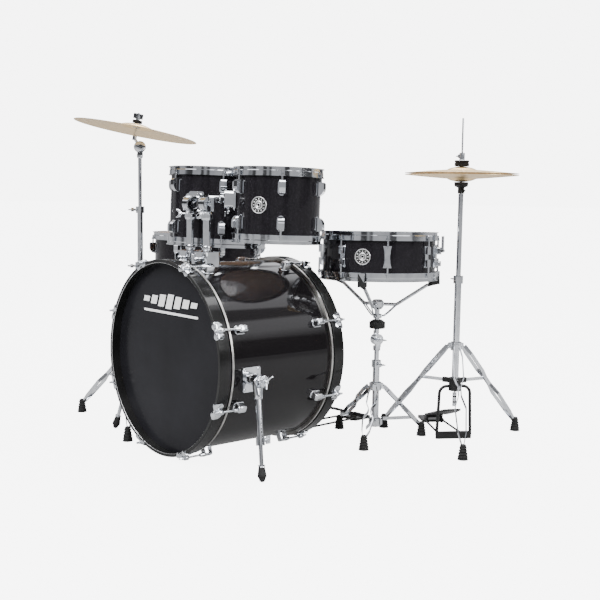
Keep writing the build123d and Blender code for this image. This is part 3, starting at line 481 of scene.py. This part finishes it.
class Drum:
    """The axis, radius and length of a drum, read off its shell."""

    def __init__(self, shell, heads, along):
        rings = np.vstack([vertices_of(name) for name in heads])
        reach = rings @ np.array(along, float)
        split = (reach.max() + reach.min()) / 2
        near, far = self.ring_centre(rings[reach > split]), self.ring_centre(rings[reach <= split])
        self.axis = (near - far) / np.linalg.norm(near - far)
        self.middle = (near + far) / 2
        points = vertices_of(shell)
        heights = (points - self.middle) @ self.axis
        self.middle = self.middle + self.axis * (heights.max() + heights.min()) / 2
        self.half = (heights.max() - heights.min()) / 2
        self.radius = self.radii(points).max()
        reference = np.array((0.0, 1.0, 0.0)) if abs(self.axis[2]) > 0.5 else np.array((0.0, 0.0, 1.0))
        self.x = np.cross(reference, self.axis)
        self.x /= np.linalg.norm(self.x)
        self.y = np.cross(self.axis, self.x)

    @staticmethod
    def ring_centre(points):
        """The middle of the box round a ring, which its uneven vertices can't pull aside."""
        return (points.max(0) + points.min(0)) / 2

    def radii(self, points):
        off = points - self.middle
        return np.linalg.norm(off - np.outer(off @ self.axis, self.axis), axis=1)

    def heights(self, points):
        return (points - self.middle) @ self.axis

    def at(self, angle, radius, height):
        """A point at an angle in radians from the drum's own x direction."""
        way = self.x * math.cos(angle) + self.y * math.sin(angle)
        return self.middle + way * radius + self.axis * height


def paint(name, look, chosen):
    """Gives the chosen polygons of a CAD node another look."""
    mesh = NODES[name].data
    mesh.materials.append(LOOKS[look] if isinstance(look, str) else look)
    slot = len(mesh.materials) - 1
    index = np.empty(len(mesh.polygons), np.int32)
    mesh.polygons.foreach_get("material_index", index)
    index[chosen] = slot
    mesh.polygons.foreach_set("material_index", index)


def soften(name, width, angle=0.6):
    """Small rounded edges on a CAD node, so that its corners catch the light."""
    node = NODES[name]
    weld = node.modifiers.new("weld", "WELD")
    weld.merge_threshold = 0.00002
    bevel = node.modifiers.new("bevel", "BEVEL")
    bevel.width = width
    bevel.segments = 2
    bevel.limit_method = "ANGLE"
    bevel.angle_limit = angle
    bevel.harden_normals = True


DRUMS = {"bass_drum": Drum("bass_drum_shell", ("bass_drum_front_head", "bass_drum_batter_head"),
                           (0, -1, 0))}
for drum_name in ("right_tom", "left_tom", "floor_tom", "snare"):
    DRUMS[drum_name] = Drum(f"{drum_name}_shell", (f"{drum_name}_heads",), (0, 0, 1))


def finish_nodes():
    """Second looks on parts of CAD nodes: ply inside shells, metal flesh hoops, rubber and felt."""
    bass, snare = DRUMS["bass_drum"], DRUMS["snare"]
    for name, drum in DRUMS.items():
        paint(f"{name}_shell", "wood", drum.radii(centres_of(f"{name}_shell")) < drum.radius - SKIN)
    paint("bass_drum_shell", "gloss_wrap", bass.radii(centres_of("bass_drum_shell")) >= bass.radius - SKIN)
    for name in ("bass_drum_front_head", "bass_drum_batter_head"):
        paint(name, "aluminium", bass.radii(centres_of(name)) > bass.radius + FLESH_HOOP_OUT)
    for name in ("right_tom", "left_tom", "floor_tom", "snare"):
        drum, heads = DRUMS[name], f"{name}_heads"
        paint(heads, "aluminium", drum.radii(centres_of(heads)) > drum.radius + FLESH_HOOP_OUT)
    heads = centres_of("snare_heads")
    paint("snare_heads", "coated_film",
          (snare.radii(heads) <= snare.radius + FLESH_HOOP_OUT) & (snare.heights(heads) > 0))
    for name, top in (("snare_stand_base", FOOT_TOP), ("hihat_stand_base", FOOT_TOP),
                      ("crash_stand_base", FOOT_TOP), ("floor_tom_legs", FLOOR_TOM_FOOT_TOP),
                      ("spur_tip_right", SPUR_FOOT_TOP), ("spur_tip_left", SPUR_FOOT_TOP)):
        paint(name, "rubber", centres_of(name)[:, 2] < top)
    basket = centres_of("snare_basket")
    paint("snare_basket", "rubber", (snare.radii(basket) > snare.radius - 0.012)
          & (snare.heights(basket) < -snare.half))
    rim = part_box("hihat_top_cymbal")[1].z
    clutch = centres_of("hihat_clutch")
    paint("hihat_clutch", "black_felt", clutch[:, 2] < rim + 0.0192)
    spin = JOINTS["crash_cymbal_spin"]
    stem = np.array(spin["axis"], float)
    tilter = centres_of("crash_tilter")
    from_seat = tilter - np.array(spin["pos_m"], float)
    height = from_seat @ stem
    from_stem = np.linalg.norm(np.cross(from_seat, stem), axis=1)
    paint("crash_tilter", "felt", (height > -0.0105) & (height < 0.0) & (from_stem > 0.0075))
    paint("crash_tilter", "black_felt", (height > 0.0) & (height < 0.0125) & (from_stem > 0.0045))
    up = (0, 0, 1)
    for name, centre, normal in (("hihat_top_cymbal", hat_centre(), up),
                                 ("hihat_bottom_cymbal", hat_centre(), up),
                                 ("crash_cymbal", spin["pos_m"], spin["axis"])):
        NODES[name].data.materials[0] = cymbal_bronze(f"{name}_bronze", tuple(centre), tuple(normal))


def hat_centre():
    low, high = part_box("hihat_top_cymbal")
    return (low + high) / 2


# ---- building new pieces ----
def make_piece(name, points, faces, look, body, smooth=True):
    """A new mesh piece that rides on a CAD body."""
    mesh = bpy.data.meshes.new(name)
    mesh.from_pydata([tuple(p) for p in points], [], faces)
    mesh.materials.append(LOOKS[look])
    mesh.validate()
    work = bmesh.new()
    work.from_mesh(mesh)
    bmesh.ops.recalc_face_normals(work, faces=work.faces)
    work.to_mesh(mesh)
    work.free()
    if smooth:
        mesh.polygons.foreach_set("use_smooth", [True] * len(mesh.polygons))
        mesh.set_sharp_from_angle(angle=0.7)
    piece = bpy.data.objects.new(name, mesh)
    bpy.context.scene.collection.objects.link(piece)
    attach(piece, body)
    return piece


class Build:
    """Points and faces of one piece, gathered from several closed shapes."""

    def __init__(self):
        self.points, self.faces = [], []

    def add(self, points, faces):
        start = len(self.points)
        self.points += [np.asarray(p, float) for p in points]
        self.faces += [tuple(start + i for i in face) for face in faces]

    def rings(self, rows, closed=False):
        """A skin over rows of points, each row a closed ring, capped unless closed on itself."""
        count = len(rows[0])
        points = [p for row in rows for p in row]
        faces = []
        spans = len(rows) if closed else len(rows) - 1
        for i in range(spans):
            a, b = i * count, ((i + 1) % len(rows)) * count
            for j in range(count):
                k = (j + 1) % count
                faces.append((a + j, a + k, b + k, b + j))
        if not closed:
            faces.append(tuple(reversed(range(count))))
            faces.append(tuple((len(rows) - 1) * count + j for j in range(count)))
        self.add(points, faces)

    def lathe(self, origin, axis, outline, sides=32, closed=False):
        """Rings of (radius, height) about an axis."""
        origin, axis = np.asarray(origin, float), np.asarray(axis, float)
        axis = axis / np.linalg.norm(axis)
        side = np.cross(axis, (1, 0, 0) if abs(axis[0]) < 0.9 else (0, 1, 0))
        side /= np.linalg.norm(side)
        other = np.cross(axis, side)
        rows = []
        for radius, height in outline:
            rows.append([origin + axis * height + (side * math.cos(t) + other * math.sin(t)) * radius
                         for t in (2 * math.pi * i / sides for i in range(sides))])
        self.rings(rows, closed)

    def tube(self, path, radius, sides=10):
        """A round wire along a row of points."""
        path = [np.asarray(p, float) for p in path]
        ahead = path[1] - path[0]
        side = np.cross(ahead, (0, 0, 1) if abs(ahead[2]) < 0.9 * np.linalg.norm(ahead) else (1, 0, 0))
        rows = []
        for i, point in enumerate(path):
            ahead = path[min(i + 1, len(path) - 1)] - path[max(i - 1, 0)]
            ahead = ahead / np.linalg.norm(ahead)
            side = side - ahead * (side @ ahead)
            side = side / np.linalg.norm(side)
            other = np.cross(ahead, side)
            rows.append([point + (side * math.cos(t) + other * math.sin(t)) * radius
                         for t in (2 * math.pi * k / sides for k in range(sides))])
        self.rings(rows)

    def pillow(self, frame_at, outline, levels):
        """Stacked copies of an outline: each level is (scale inset in metres, height)."""
        rows = []
        for inset, height in levels:
            rows.append([frame_at(u - math.copysign(min(inset, abs(u)), u),
                                  v - math.copysign(min(inset, abs(v)), v), height) for u, v in outline])
        self.rings(rows)

    def make(self, name, look, body, slot, smooth=True):
        return make_piece(name, self.points, self.faces, look, body, smooth)


def rounded(length, width, corner, steps=4):
    """A rounded rectangle about the origin, as (u, v) points."""
    points = []
    for cu, cv, first in ((1, 1, 0), (-1, 1, 90), (-1, -1, 180), (1, -1, 270)):
        for i in range(steps + 1):
            t = math.radians(first + 90 * i / steps)
            points.append((cu * (length / 2 - corner) + corner * math.cos(t),
                           cv * (width / 2 - corner) + corner * math.sin(t)))
    return points


def shell_badge(drum_name, angle, name):
    """A round vent badge that follows the shell: a rim, a ring of studs and a pierced middle."""
    drum = DRUMS[drum_name]

    def on_shell(u, v, height):
        return drum.at(angle + u / drum.radius, drum.radius + height, v)

    build = Build()
    sides = 56
    outlines = (((0.0245, -0.0003), (0.0245, 0.0010), (0.0238, 0.0017), (0.0222, 0.0017), (0.0215, 0.0010),
                 (0.0215, -0.0003)),
                ((0.0125, -0.0003), (0.0125, 0.0011), (0.0118, 0.0016), (0.0095, 0.0016), (0.0088, 0.0011),
                 (0.0088, -0.0003)),
                ((0.0062, -0.0003), (0.0062, 0.0018), (0.0052, 0.0024), (0.0040, 0.0018), (0.0036, -0.0003)))
    for outline in outlines:
        rows = [[on_shell(r * math.cos(2 * math.pi * i / sides), r * math.sin(2 * math.pi * i / sides), h)
                 for i in range(sides)] for r, h in outline]
        build.rings(rows, closed=True)
    for k in range(12):
        turn = 2 * math.pi * k / 12
        rows = []
        for r, h in ((0.0017, -0.0003), (0.0017, 0.0008), (0.0009, 0.0014)):
            rows.append([on_shell(0.0170 * math.cos(turn) + r * math.cos(2 * math.pi * i / 10),
                                  0.0170 * math.sin(turn) + r * math.sin(2 * math.pi * i / 10), h)
                         for i in range(10)])
        build.rings(rows)
    build.make(name, "silver_print", drum_name, "chrome")
    plate = Build()
    rows = [[on_shell(r * math.cos(2 * math.pi * i / sides), r * math.sin(2 * math.pi * i / sides), h)
             for i in range(sides)] for r, h in ((0.0216, -0.0003), (0.0216, 0.0004), (0.0037, 0.0004),
                                                 (0.0037, -0.0003))]
    plate.rings(rows, closed=True)
    plate.make(f"{name}_plate", "black_plastic", drum_name, "black_plastic")


def head_emblem():
    """A generic mark on the front head: slanted bars of rising and falling height over a long rule."""
    drum = DRUMS["bass_drum"]
    build = Build()
    lift = drum.half + 0.0012

    def place(u, v, height):
        return drum.at(0, 0, lift + height) + np.array((u, 0, v))

    middle_z = 0.166
    heights = (0.016, 0.026, 0.036, 0.044, 0.036, 0.026, 0.016)
    for i, tall in enumerate(heights):
        u = 0.003 + (i - 3) * 0.041
        bar = [(-0.015, -tall / 2), (0.015, -tall / 2), (0.015, tall / 2), (-0.015, tall / 2)]
        bar = [(u + a + b * 0.35, middle_z + b) for a, b in bar]
        build.rings([[place(a, b, h) for a, b in bar] for h in (-0.0006, 0.0004)])
    rule = [(u + 0.005, middle_z - 0.034 + v) for u, v in rounded(0.280, 0.007, 0.003)]
    build.rings([[place(a, b, h) for a, b in rule] for h in (-0.0006, 0.0004)])
    build.make("front_head_emblem", "white_print", "root", "clear_film", smooth=False)


def claw_stations():
    """The end centre, outward way and radial way at each tension rod of the bass drum."""
    drum = DRUMS["bass_drum"]
    for end in (1, -1):
        for i in range(8):
            angle = math.radians(22.5 + 45 * i)
            radial = drum.x * math.cos(angle) + drum.y * math.sin(angle)
            yield drum.middle + drum.axis * drum.half * end, drum.axis * end, radial


def bass_claws():
    """Claw hooks with two lobes over the hoop, a raised spine and a barrel for the rod."""
    drum, hoops = DRUMS["bass_drum"], vertices_of("bass_drum_hoops")
    hoop_r = drum.radii(hoops).max()
    lip = drum.heights(hoops).max() - drum.half
    rod_r = rod_circle()
    build = Build()
    half, across = 0.0250, 25
    for centre, out, radial in claw_stations():
        side = np.cross(out, radial)
        rows_out, rows_in = [], []
        for j in range(across):
            v = -half + 2 * half * j / (across - 1)
            lobe = max(0.0, math.cos(math.pi * (abs(v) - 0.0145) / 0.025))
            reach = 0.0125 * (0.35 + 0.65 * lobe)
            back = 0.024 * (0.55 + 0.45 * lobe) if abs(v) > 0.004 else 0.026
            thick = 0.0026 + 0.0009 * lobe
            line = [(hoop_r + 0.0003, lip - back), (hoop_r + 0.0003, lip - back * 0.6),
                    (hoop_r + 0.0003, lip - back * 0.25), (hoop_r + 0.0003, lip - 0.001),
                    (hoop_r - 0.0006, lip + 0.0003), (hoop_r - reach * 0.35, lip + 0.0003),
                    (hoop_r - reach * 0.7, lip + 0.0003), (hoop_r - reach, lip + 0.0003)]
            ways = [(1, -0.3), (1, 0), (1, 0), (1, 0.35), (0.7, 0.7), (0.2, 1), (0, 1), (-0.3, 1)]
            swell = [0.45, 0.9, 1, 1, 1, 1, 0.9, 0.45]
            edge = math.sqrt(max(0.0, 1 - (abs(v) / (half + 0.0008)) ** 6))
            inner, outer = [], []
            for (r, h), (wr, wh), s in zip(line, ways, swell):
                base = centre + radial * r + out * h + side * v
                inner.append(base)
                outer.append(base + (radial * wr + out * wh) * thick * s * (0.35 + 0.65 * edge))
            rows_in.append(inner)
            rows_out.append(outer)
        rows = [outer + inner[::-1] for outer, inner in zip(rows_out, rows_in)]
        build.rings(rows)
        build.lathe(centre + radial * rod_r + out * 0.0095, out,
                    ((0.0032, 0), (0.0062, 0.0), (0.0074, 0.0018), (0.0074, 0.0135), (0.0062, 0.0155),
                     (0.0032, 0.0155)), 24, closed=True)
        web = [(rod_r - 0.006, 0.011), (rod_r - 0.006, 0.024),
               (hoop_r + 0.001, 0.026), (hoop_r + 0.001, 0.008)]
        build.rings([[centre + radial * r + out * h + side * w for r, h in web] for w in (-0.0055, 0.0055)])
    piece = build.make("bass_claws", "chrome", "root", "chrome")
    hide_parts("bass_drum_claws")


def rod_circle():
    """The radius of the circle that the bass drum's rods lie on, off their own vertices."""
    drum = DRUMS["bass_drum"]
    radii = drum.radii(vertices_of("bass_drum_tension_rods"))
    return (radii.max() + radii.min()) / 2


def bass_lugs():
    """Small cast lugs: a domed block on a flange, with a neck for the rod."""
    drum, rod_r = DRUMS["bass_drum"], rod_circle()
    reach = abs(drum.heights(vertices_of("bass_drum_lugs")))
    inset = drum.half - (reach.max() + reach.min()) / 2
    build = Build()
    for centre, out, radial in claw_stations():
        side = np.cross(out, radial)
        seat = centre - out * inset + radial * (drum.radius - 0.0012)

        def on_seat(u, v, height, seat=seat, side=side, out=out, radial=radial):
            return seat + out * u + side * v + radial * height

        build.pillow(on_seat, rounded(0.036, 0.025, 0.008), ((0, 0), (0, 0.0028), (0.0012, 0.0036)))
        build.pillow(on_seat, rounded(0.029, 0.021, 0.0035),
                     ((0, 0.002), (0.0003, 0.0190), (0.0009, 0.0235), (0.0022, 0.0255), (0.0046, 0.0262)))
        build.lathe(seat + radial * (rod_r - drum.radius + 0.0012) + out * 0.009, out,
                    ((0.0066, 0), (0.0068, 0.006), (0.0058, 0.012), (0.0054, 0.0170), (0.0042, 0.0180)), 20)
    piece = build.make("bass_lugs", "chrome", "root", "chrome")
    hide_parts("bass_drum_lugs")


def toothed_disc(build, centre, axis, radius, thick, teeth=30, depth=0.0012):
    """A disc with teeth round its rim, a dished face, and a hexagon bolt head."""
    centre, axis = np.asarray(centre, float), np.asarray(axis, float)
    side = np.cross(axis, (0, 0, 1))
    side /= np.linalg.norm(side)
    other = np.cross(axis, side)

    def row(outer, height, notch):
        points = []
        for i in range(teeth * 4):
            t = 2 * math.pi * i / (teeth * 4)
            r = outer - (notch if i % 4 in (2, 3) else 0)
            points.append(centre + axis * height + (side * math.cos(t) + other * math.sin(t)) * r)
        return points

    build.rings([row(radius - 0.0008, 0, 0), row(radius, 0.0006, depth), row(radius, thick - 0.0006, depth),
                 row(radius - 0.0010, thick, 0), row(radius * 0.62, thick, 0),
                 row(radius * 0.58, thick - 0.0012, 0)])
    build.lathe(centre + axis * (thick - 0.0014), axis, ((0.0068, 0), (0.0068, 0.0040), (0.0058, 0.0050)), 6)


def wing_screw(build, foot, way, length, span, flat):
    """A screw along its way that ends in a hub with two rounded wings."""
    foot, way, flat = np.asarray(foot, float), np.asarray(way, float), np.asarray(flat, float)
    way = way / np.linalg.norm(way)
    flat = flat / np.linalg.norm(flat)
    normal = np.cross(way, flat)
    build.lathe(foot, way, ((0.0028, 0), (0.0028, length)), 16)
    build.lathe(foot + way * (length - 0.004), way,
                ((0.0050, 0), (0.0056, 0.0012), (0.0056, 0.0090), (0.0044, 0.0110)), 20)
    hub = foot + way * (length + 0.002)
    for sign in (1, -1):
        rows = []
        for k in range(9):
            part = k / 8
            middle = hub + flat * sign * (0.002 + part * (span - 0.002)) + way * 0.011 * part ** 1.4
            wide = 0.0030 + 0.0050 * math.sin(math.pi * min(1.0, 0.25 + 0.75 * part)) * part + 0.0012
            thick = 0.0019 - 0.0006 * part
            if k == 8:
                wide, thick = wide * 0.5, thick * 0.5
            rows.append([middle + (way * math.cos(t)) * wide + normal * math.sin(t) * thick
                         for t in (2 * math.pi * i / 12 for i in range(12))])
        build.rings(rows)


def spur_socket(build, pivot, down, rod_points):
    """The tapered casting that holds the top of a spur leg, in line with the rod that slides in it."""
    along = (rod_points - pivot) @ down
    shaft = rod_points[along < along.min() + 0.003]
    flat = shaft - np.outer((shaft - pivot) @ down, down)
    middle = (flat.max(0) + flat.min(0)) / 2
    deep = np.array((1.0, 0, 0)) - down * down[0]
    deep /= np.linalg.norm(deep)
    wide = np.cross(down, deep)
    rows = []
    sections = ((-0.012, 0.0090, 0.0070), (-0.008, 0.0140, 0.0090), (0.004, 0.0168, 0.0096),
                (0.020, 0.0150, 0.0100), (0.040, 0.0122, 0.0104), (0.052, 0.0112, 0.0106),
                (0.0535, 0.0104, 0.0098))
    for t, half_wide, half_deep in sections:
        corner = min(half_wide, half_deep) * 0.75
        rows.append([middle + down * t + wide * u + deep * v
                     for u, v in rounded(half_wide * 2, half_deep * 2, corner, 5)])
    build.rings(rows)


def spur_plate(build, out, pivot):
    """Round-headed screws in the corners of the plate that carries a spur."""
    plate = vertices_of("bass_drum_spur_brackets")
    plate = plate[(plate[:, 0] - pivot[0]) * out > -0.10]
    rim = plate[np.abs(plate[:, 2] - pivot[2]) > 0.018]
    face = (rim[:, 0] * out).max() * out
    low, high = rim.min(0), rim.max(0)
    for y in (low[1] + 0.0065, high[1] - 0.0065):
        for z in (low[2] + 0.0065, high[2] - 0.0065):
            build.lathe((face - out * 0.0004, y, z), (out, 0, 0),
                        ((0.0044, 0), (0.0044, 0.0010), (0.0036, 0.0022), (0.0014, 0.0026)), 18)


def spur_details():
    """Sockets, plate screws and ratchet faces on the spurs, and the wing screws that lock them."""
    for side in ("right", "left"):
        out = 1 if side == "right" else -1
        pivot = np.array(JOINTS[f"{side}_spur_fold"]["pos_m"], float)
        points = vertices_of(f"spur_leg_{side}")
        near = points[np.linalg.norm((points - pivot)[:, 1:], axis=1) < 0.018]
        face = (near[:, 0] * out).max() * out
        build = Build()
        toothed_disc(build, (face - out * 0.0012, pivot[1], pivot[2]), (out, 0, 0), 0.0165, 0.0042, 26)
        wing_screw(build, (face + out * 0.002, pivot[1], pivot[2]), (out, 0, 0), 0.008, 0.021, (0, 0.55, 0.83))
        down = -np.array(JOINTS[f"{side}_spur_length"]["axis"], float)
        spur_socket(build, pivot, down, vertices_of(f"spur_tip_{side}"))
        build.make(f"spur_{side}_ratchet", "chrome", f"spur_{side}", "chrome")
        screws = Build()
        spur_plate(screws, out, pivot)
        screws.make(f"spur_{side}_plate_screws", "chrome", "root", "chrome")


def tom_details():
    """Ratchet rims round the tilter pivots, ribbed collars on the posts, and clamp screws."""
    for side, out in (("right", 1), ("left", -1)):
        pivot = np.array(JOINTS[f"{side}_tom_tilt"]["pos_m"], float)
        build = Build()
        toothed_disc(build, (pivot[0] - out * 0.0140, pivot[1], pivot[2]), (-out, 0, 0), 0.0245, 0.0050, 34)
        build.make(f"{side}_tom_ratchet", "dark_chrome", f"{side}_tom_mast", "chrome")
        build = Build()
        base = np.array((pivot[0], pivot[1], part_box("tom_holder_base")[1].z + 0.004))
        for up in (0.0, 0.088):
            build.lathe(base + np.array((0, 0, up)), (0, 0, 1),
                        ((0.0118, 0), (0.0142, 0.0012), (0.0146, 0.0030), (0.0146, 0.0110), (0.0138, 0.0128),
                         (0.0118, 0.0136)), 36, closed=True)
        wing_screw(build, pivot + np.array((out * 0.0125 - 0.004, 0, -0.030)), (-0.8, -0.6, 0), 0.020, 0.013,
                   (0, 0, 1))
        build.make(f"{side}_tom_collars", "chrome", f"{side}_tom_mast", "chrome")


def foot_axes(stand):
    """The middle and radius of the sole of each rubber foot."""
    points = vertices_of(stand)
    soles = points[points[:, 2] < 0.0006]
    while len(soles):
        near = np.linalg.norm(soles[:, :2] - soles[0, :2], axis=1) < 0.05
        sole = soles[near]
        soles = soles[~near]
        low = (sole.max(0) + sole.min(0)) / 2
        yield low, np.linalg.norm((sole - low)[:, :2], axis=1).max()


def ribbed_feet():
    """Rubber ribs round the foot of every tripod leg."""
    for stand in ("snare_stand_base", "hihat_stand_base", "crash_stand_base"):
        build = Build()
        for low, radius in foot_axes(stand):
            for up, share in ((0.0085, 0.86), (0.0180, 0.79), (0.0272, 0.70), (0.0360, 0.62)):
                r = radius * share
                build.lathe(low + np.array((0, 0, up)), (0, 0, 1),
                            ((r * 0.8, -0.0022), (r + 0.0008, -0.0020), (r + 0.0020, 0.0), (r + 0.0008, 0.0018),
                             (r * 0.8, 0.0022)), 28)
        build.make(f"{stand}_ribs", "rubber", "root", "black_plastic")


def basket_details():
    """The snare basket's knurled black knob, and the yoke and struts under its arms."""
    middle = np.array(JOINTS["snare_tilt"]["pos_m"], float)
    centres = centres_of("snare_basket")
    out = np.linalg.norm((centres - middle)[:, :2], axis=1)
    up = centres[:, 2] - middle[2]
    paint("snare_basket", "black_plastic", (up > 0.0355) & (up < 0.0645) & (out < 0.026))
    knob, sides = Build(), 96
    rows = []
    for height, extra in ((0.0372, 0.0), (0.0382, 0.0014), (0.0562, 0.0014), (0.0572, 0.0)):
        row = []
        for i in range(sides):
            t, r = 2 * math.pi * i / sides, 0.0242 + extra * (1 if i % 4 < 2 else 0.35)
            row.append(middle + np.array((math.cos(t) * r, math.sin(t) * r, height)))
        rows.append(row)
    knob.rings(rows)
    knob.make("snare_basket_knob", "black_plastic", "snare", "black_plastic")
    tips = centres[out > 0.16]
    first = math.atan2(tips[0, 1] - middle[1], tips[0, 0] - middle[0])
    turns = np.arctan2(tips[:, 1] - middle[1], tips[:, 0] - middle[0])
    struts = Build()
    struts.lathe(middle + np.array((0, 0, 0.0690)), (0, 0, 1),
                 ((0.0080, 0), (0.0125, 0.0), (0.0140, 0.0015), (0.0140, 0.0115), (0.0125, 0.0130),
                  (0.0080, 0.0130)), 32, closed=True)
    for k in range(3):
        gap = np.angle(np.exp(1j * (turns - first - 2 * math.pi * k / 3)))
        group = tips[np.abs(gap) < 0.6]
        way = (group.max(0) + group.min(0))[:2] / 2 - middle[:2]
        way = np.array((*(way / np.linalg.norm(way)), 0.0))
        side = np.array((-way[1], way[0], 0.0))
        for edge in (-0.0045, 0.0045):
            struts.tube([middle + way * r + side * edge + np.array((0, 0, h))
                         for r, h in ((0.010, 0.0760), (0.022, 0.0770), (0.034, 0.0860), (0.058, 0.1080),
                                      (0.076, 0.1205))], 0.0024, 8)
    struts.make("snare_basket_struts", "chrome", "snare", "chrome")


def crash_details():
    """Domed caps on both faces of the crash tilter, and the wing nut over its felts."""
    tilt, spin = JOINTS["crash_tilt"], JOINTS["crash_cymbal_spin"]
    pivot, axis = np.array(tilt["pos_m"], float), np.array(tilt["axis"], float)
    dome = ((0.0186, -0.0002), (0.0186, 0.0008), (0.0172, 0.0022), (0.0140, 0.0036), (0.0100, 0.0044),
            (0.0064, 0.0046), (0.0064, -0.0002))
    for name, way, body in (("near", -axis, "crash_rod"), ("far", axis, "crash_tilt_head")):
        build = Build()
        build.lathe(pivot + way * 0.0102, way, dome, 40, closed=True)
        build.make(f"crash_tilter_{name}_cap", "chrome", body, "chrome")
    stem = np.array(spin["axis"], float)
    nut = Build()
    seat = np.array(spin["pos_m"], float) + stem * 0.0125
    wing_screw(nut, seat, stem, 0.0045, 0.0165, np.cross(stem, axis))
    nut.make("crash_wing_nut", "chrome", "crash_tilt_head", "chrome")


def painted_hoop_highlights():
    """A thin bright silver ring round the inner edge of each bass drum hoop: a painted highlight in place of the
    light caught on the hoop's edge.
    """
    drum, hoops = DRUMS["bass_drum"], vertices_of("bass_drum_hoops")
    heights, radii = drum.heights(hoops), drum.radii(hoops)
    build = Build()
    for end in (1, -1):
        lip = (heights * end).max()
        inner = radii[(heights * end) > lip - 0.002].min()
        build.lathe(drum.middle, drum.axis * end,
                    [(inner + 0.0003 + 0.0011 * math.cos(t), lip - 0.0014 + 0.0011 * math.sin(t))
                     for t in (2 * math.pi * i / 8 for i in range(8))], 160, closed=True)
    # painted highlight: the bright silver ring stands in for light caught on the hoop's inner edge
    build.make("bass_painted_hoop_highlights", "silver_print", "root", "chrome")


def hat_chain():
    """Side plates and rollers on the hi-hat's pull chain, by turns plated and black."""
    low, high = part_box("hihat_pull_rod")
    foot = np.array(((low.x + high.x) / 2, (low.y + high.y) / 2, low.z))
    way = np.array(JOINTS["hihat_pedal_press"]["pos_m"], float) - foot
    way = np.array((way[0], way[1], 0.0)) / np.linalg.norm(way[:2])
    side = np.array((-way[1], way[0], 0.0))
    for look, first in (("chrome", 0), ("black_metal", 1)):
        build = Build()
        for i in range(first, 5, 2):
            middle = foot + np.array((0, 0, 0.005 + 0.009 * i))
            for edge in (-1, 1):
                seat = middle + side * edge * 0.0046

                def on_plate(u, v, height, seat=seat, edge=edge):
                    return seat + np.array((0, 0, u)) + way * v + side * edge * height

                build.pillow(on_plate, rounded(0.0115, 0.0075, 0.0034),
                             ((0, 0), (0, 0.0010), (0.0008, 0.0015)))
            build.lathe(middle - side * 0.0044, side, ((0.0030, 0), (0.0030, 0.0088)), 16)
        build.make(f"hihat_chain_{look}", look, "hihat_rod", "black_metal" if first else "chrome")


dress_nodes()
finish_nodes()
hat_chain()
painted_hoop_highlights()
crash_details()
spur_details()
tom_details()
ribbed_feet()
basket_details()
shell_badge("right_tom", math.radians(-65.7), "right_tom_badge")
shell_badge("left_tom", math.radians(-61.6), "left_tom_badge")
shell_badge("snare", math.radians(-62), "snare_badge")
head_emblem()
bass_claws()
bass_lugs()
for blocky in ("tom_holder_base", "bass_drum_spur_brackets", "right_tom_bracket", "left_tom_bracket"):
    soften(blocky, 0.0022)
add_camera()
add_world()
add_floor()
add_light("key", (1.2, -3.6, 3.4), (0, 0, 0.5), (2.6, 2.0), 300)
add_light("side", (3.6, 1.2, 2.2), (0.2, 0.2, 0.5), (1.4, 2.4), 120)
add_light("top", (0.0, 0.3, 3.6), (0, 0, 0.4), (3.2, 3.2), 220)
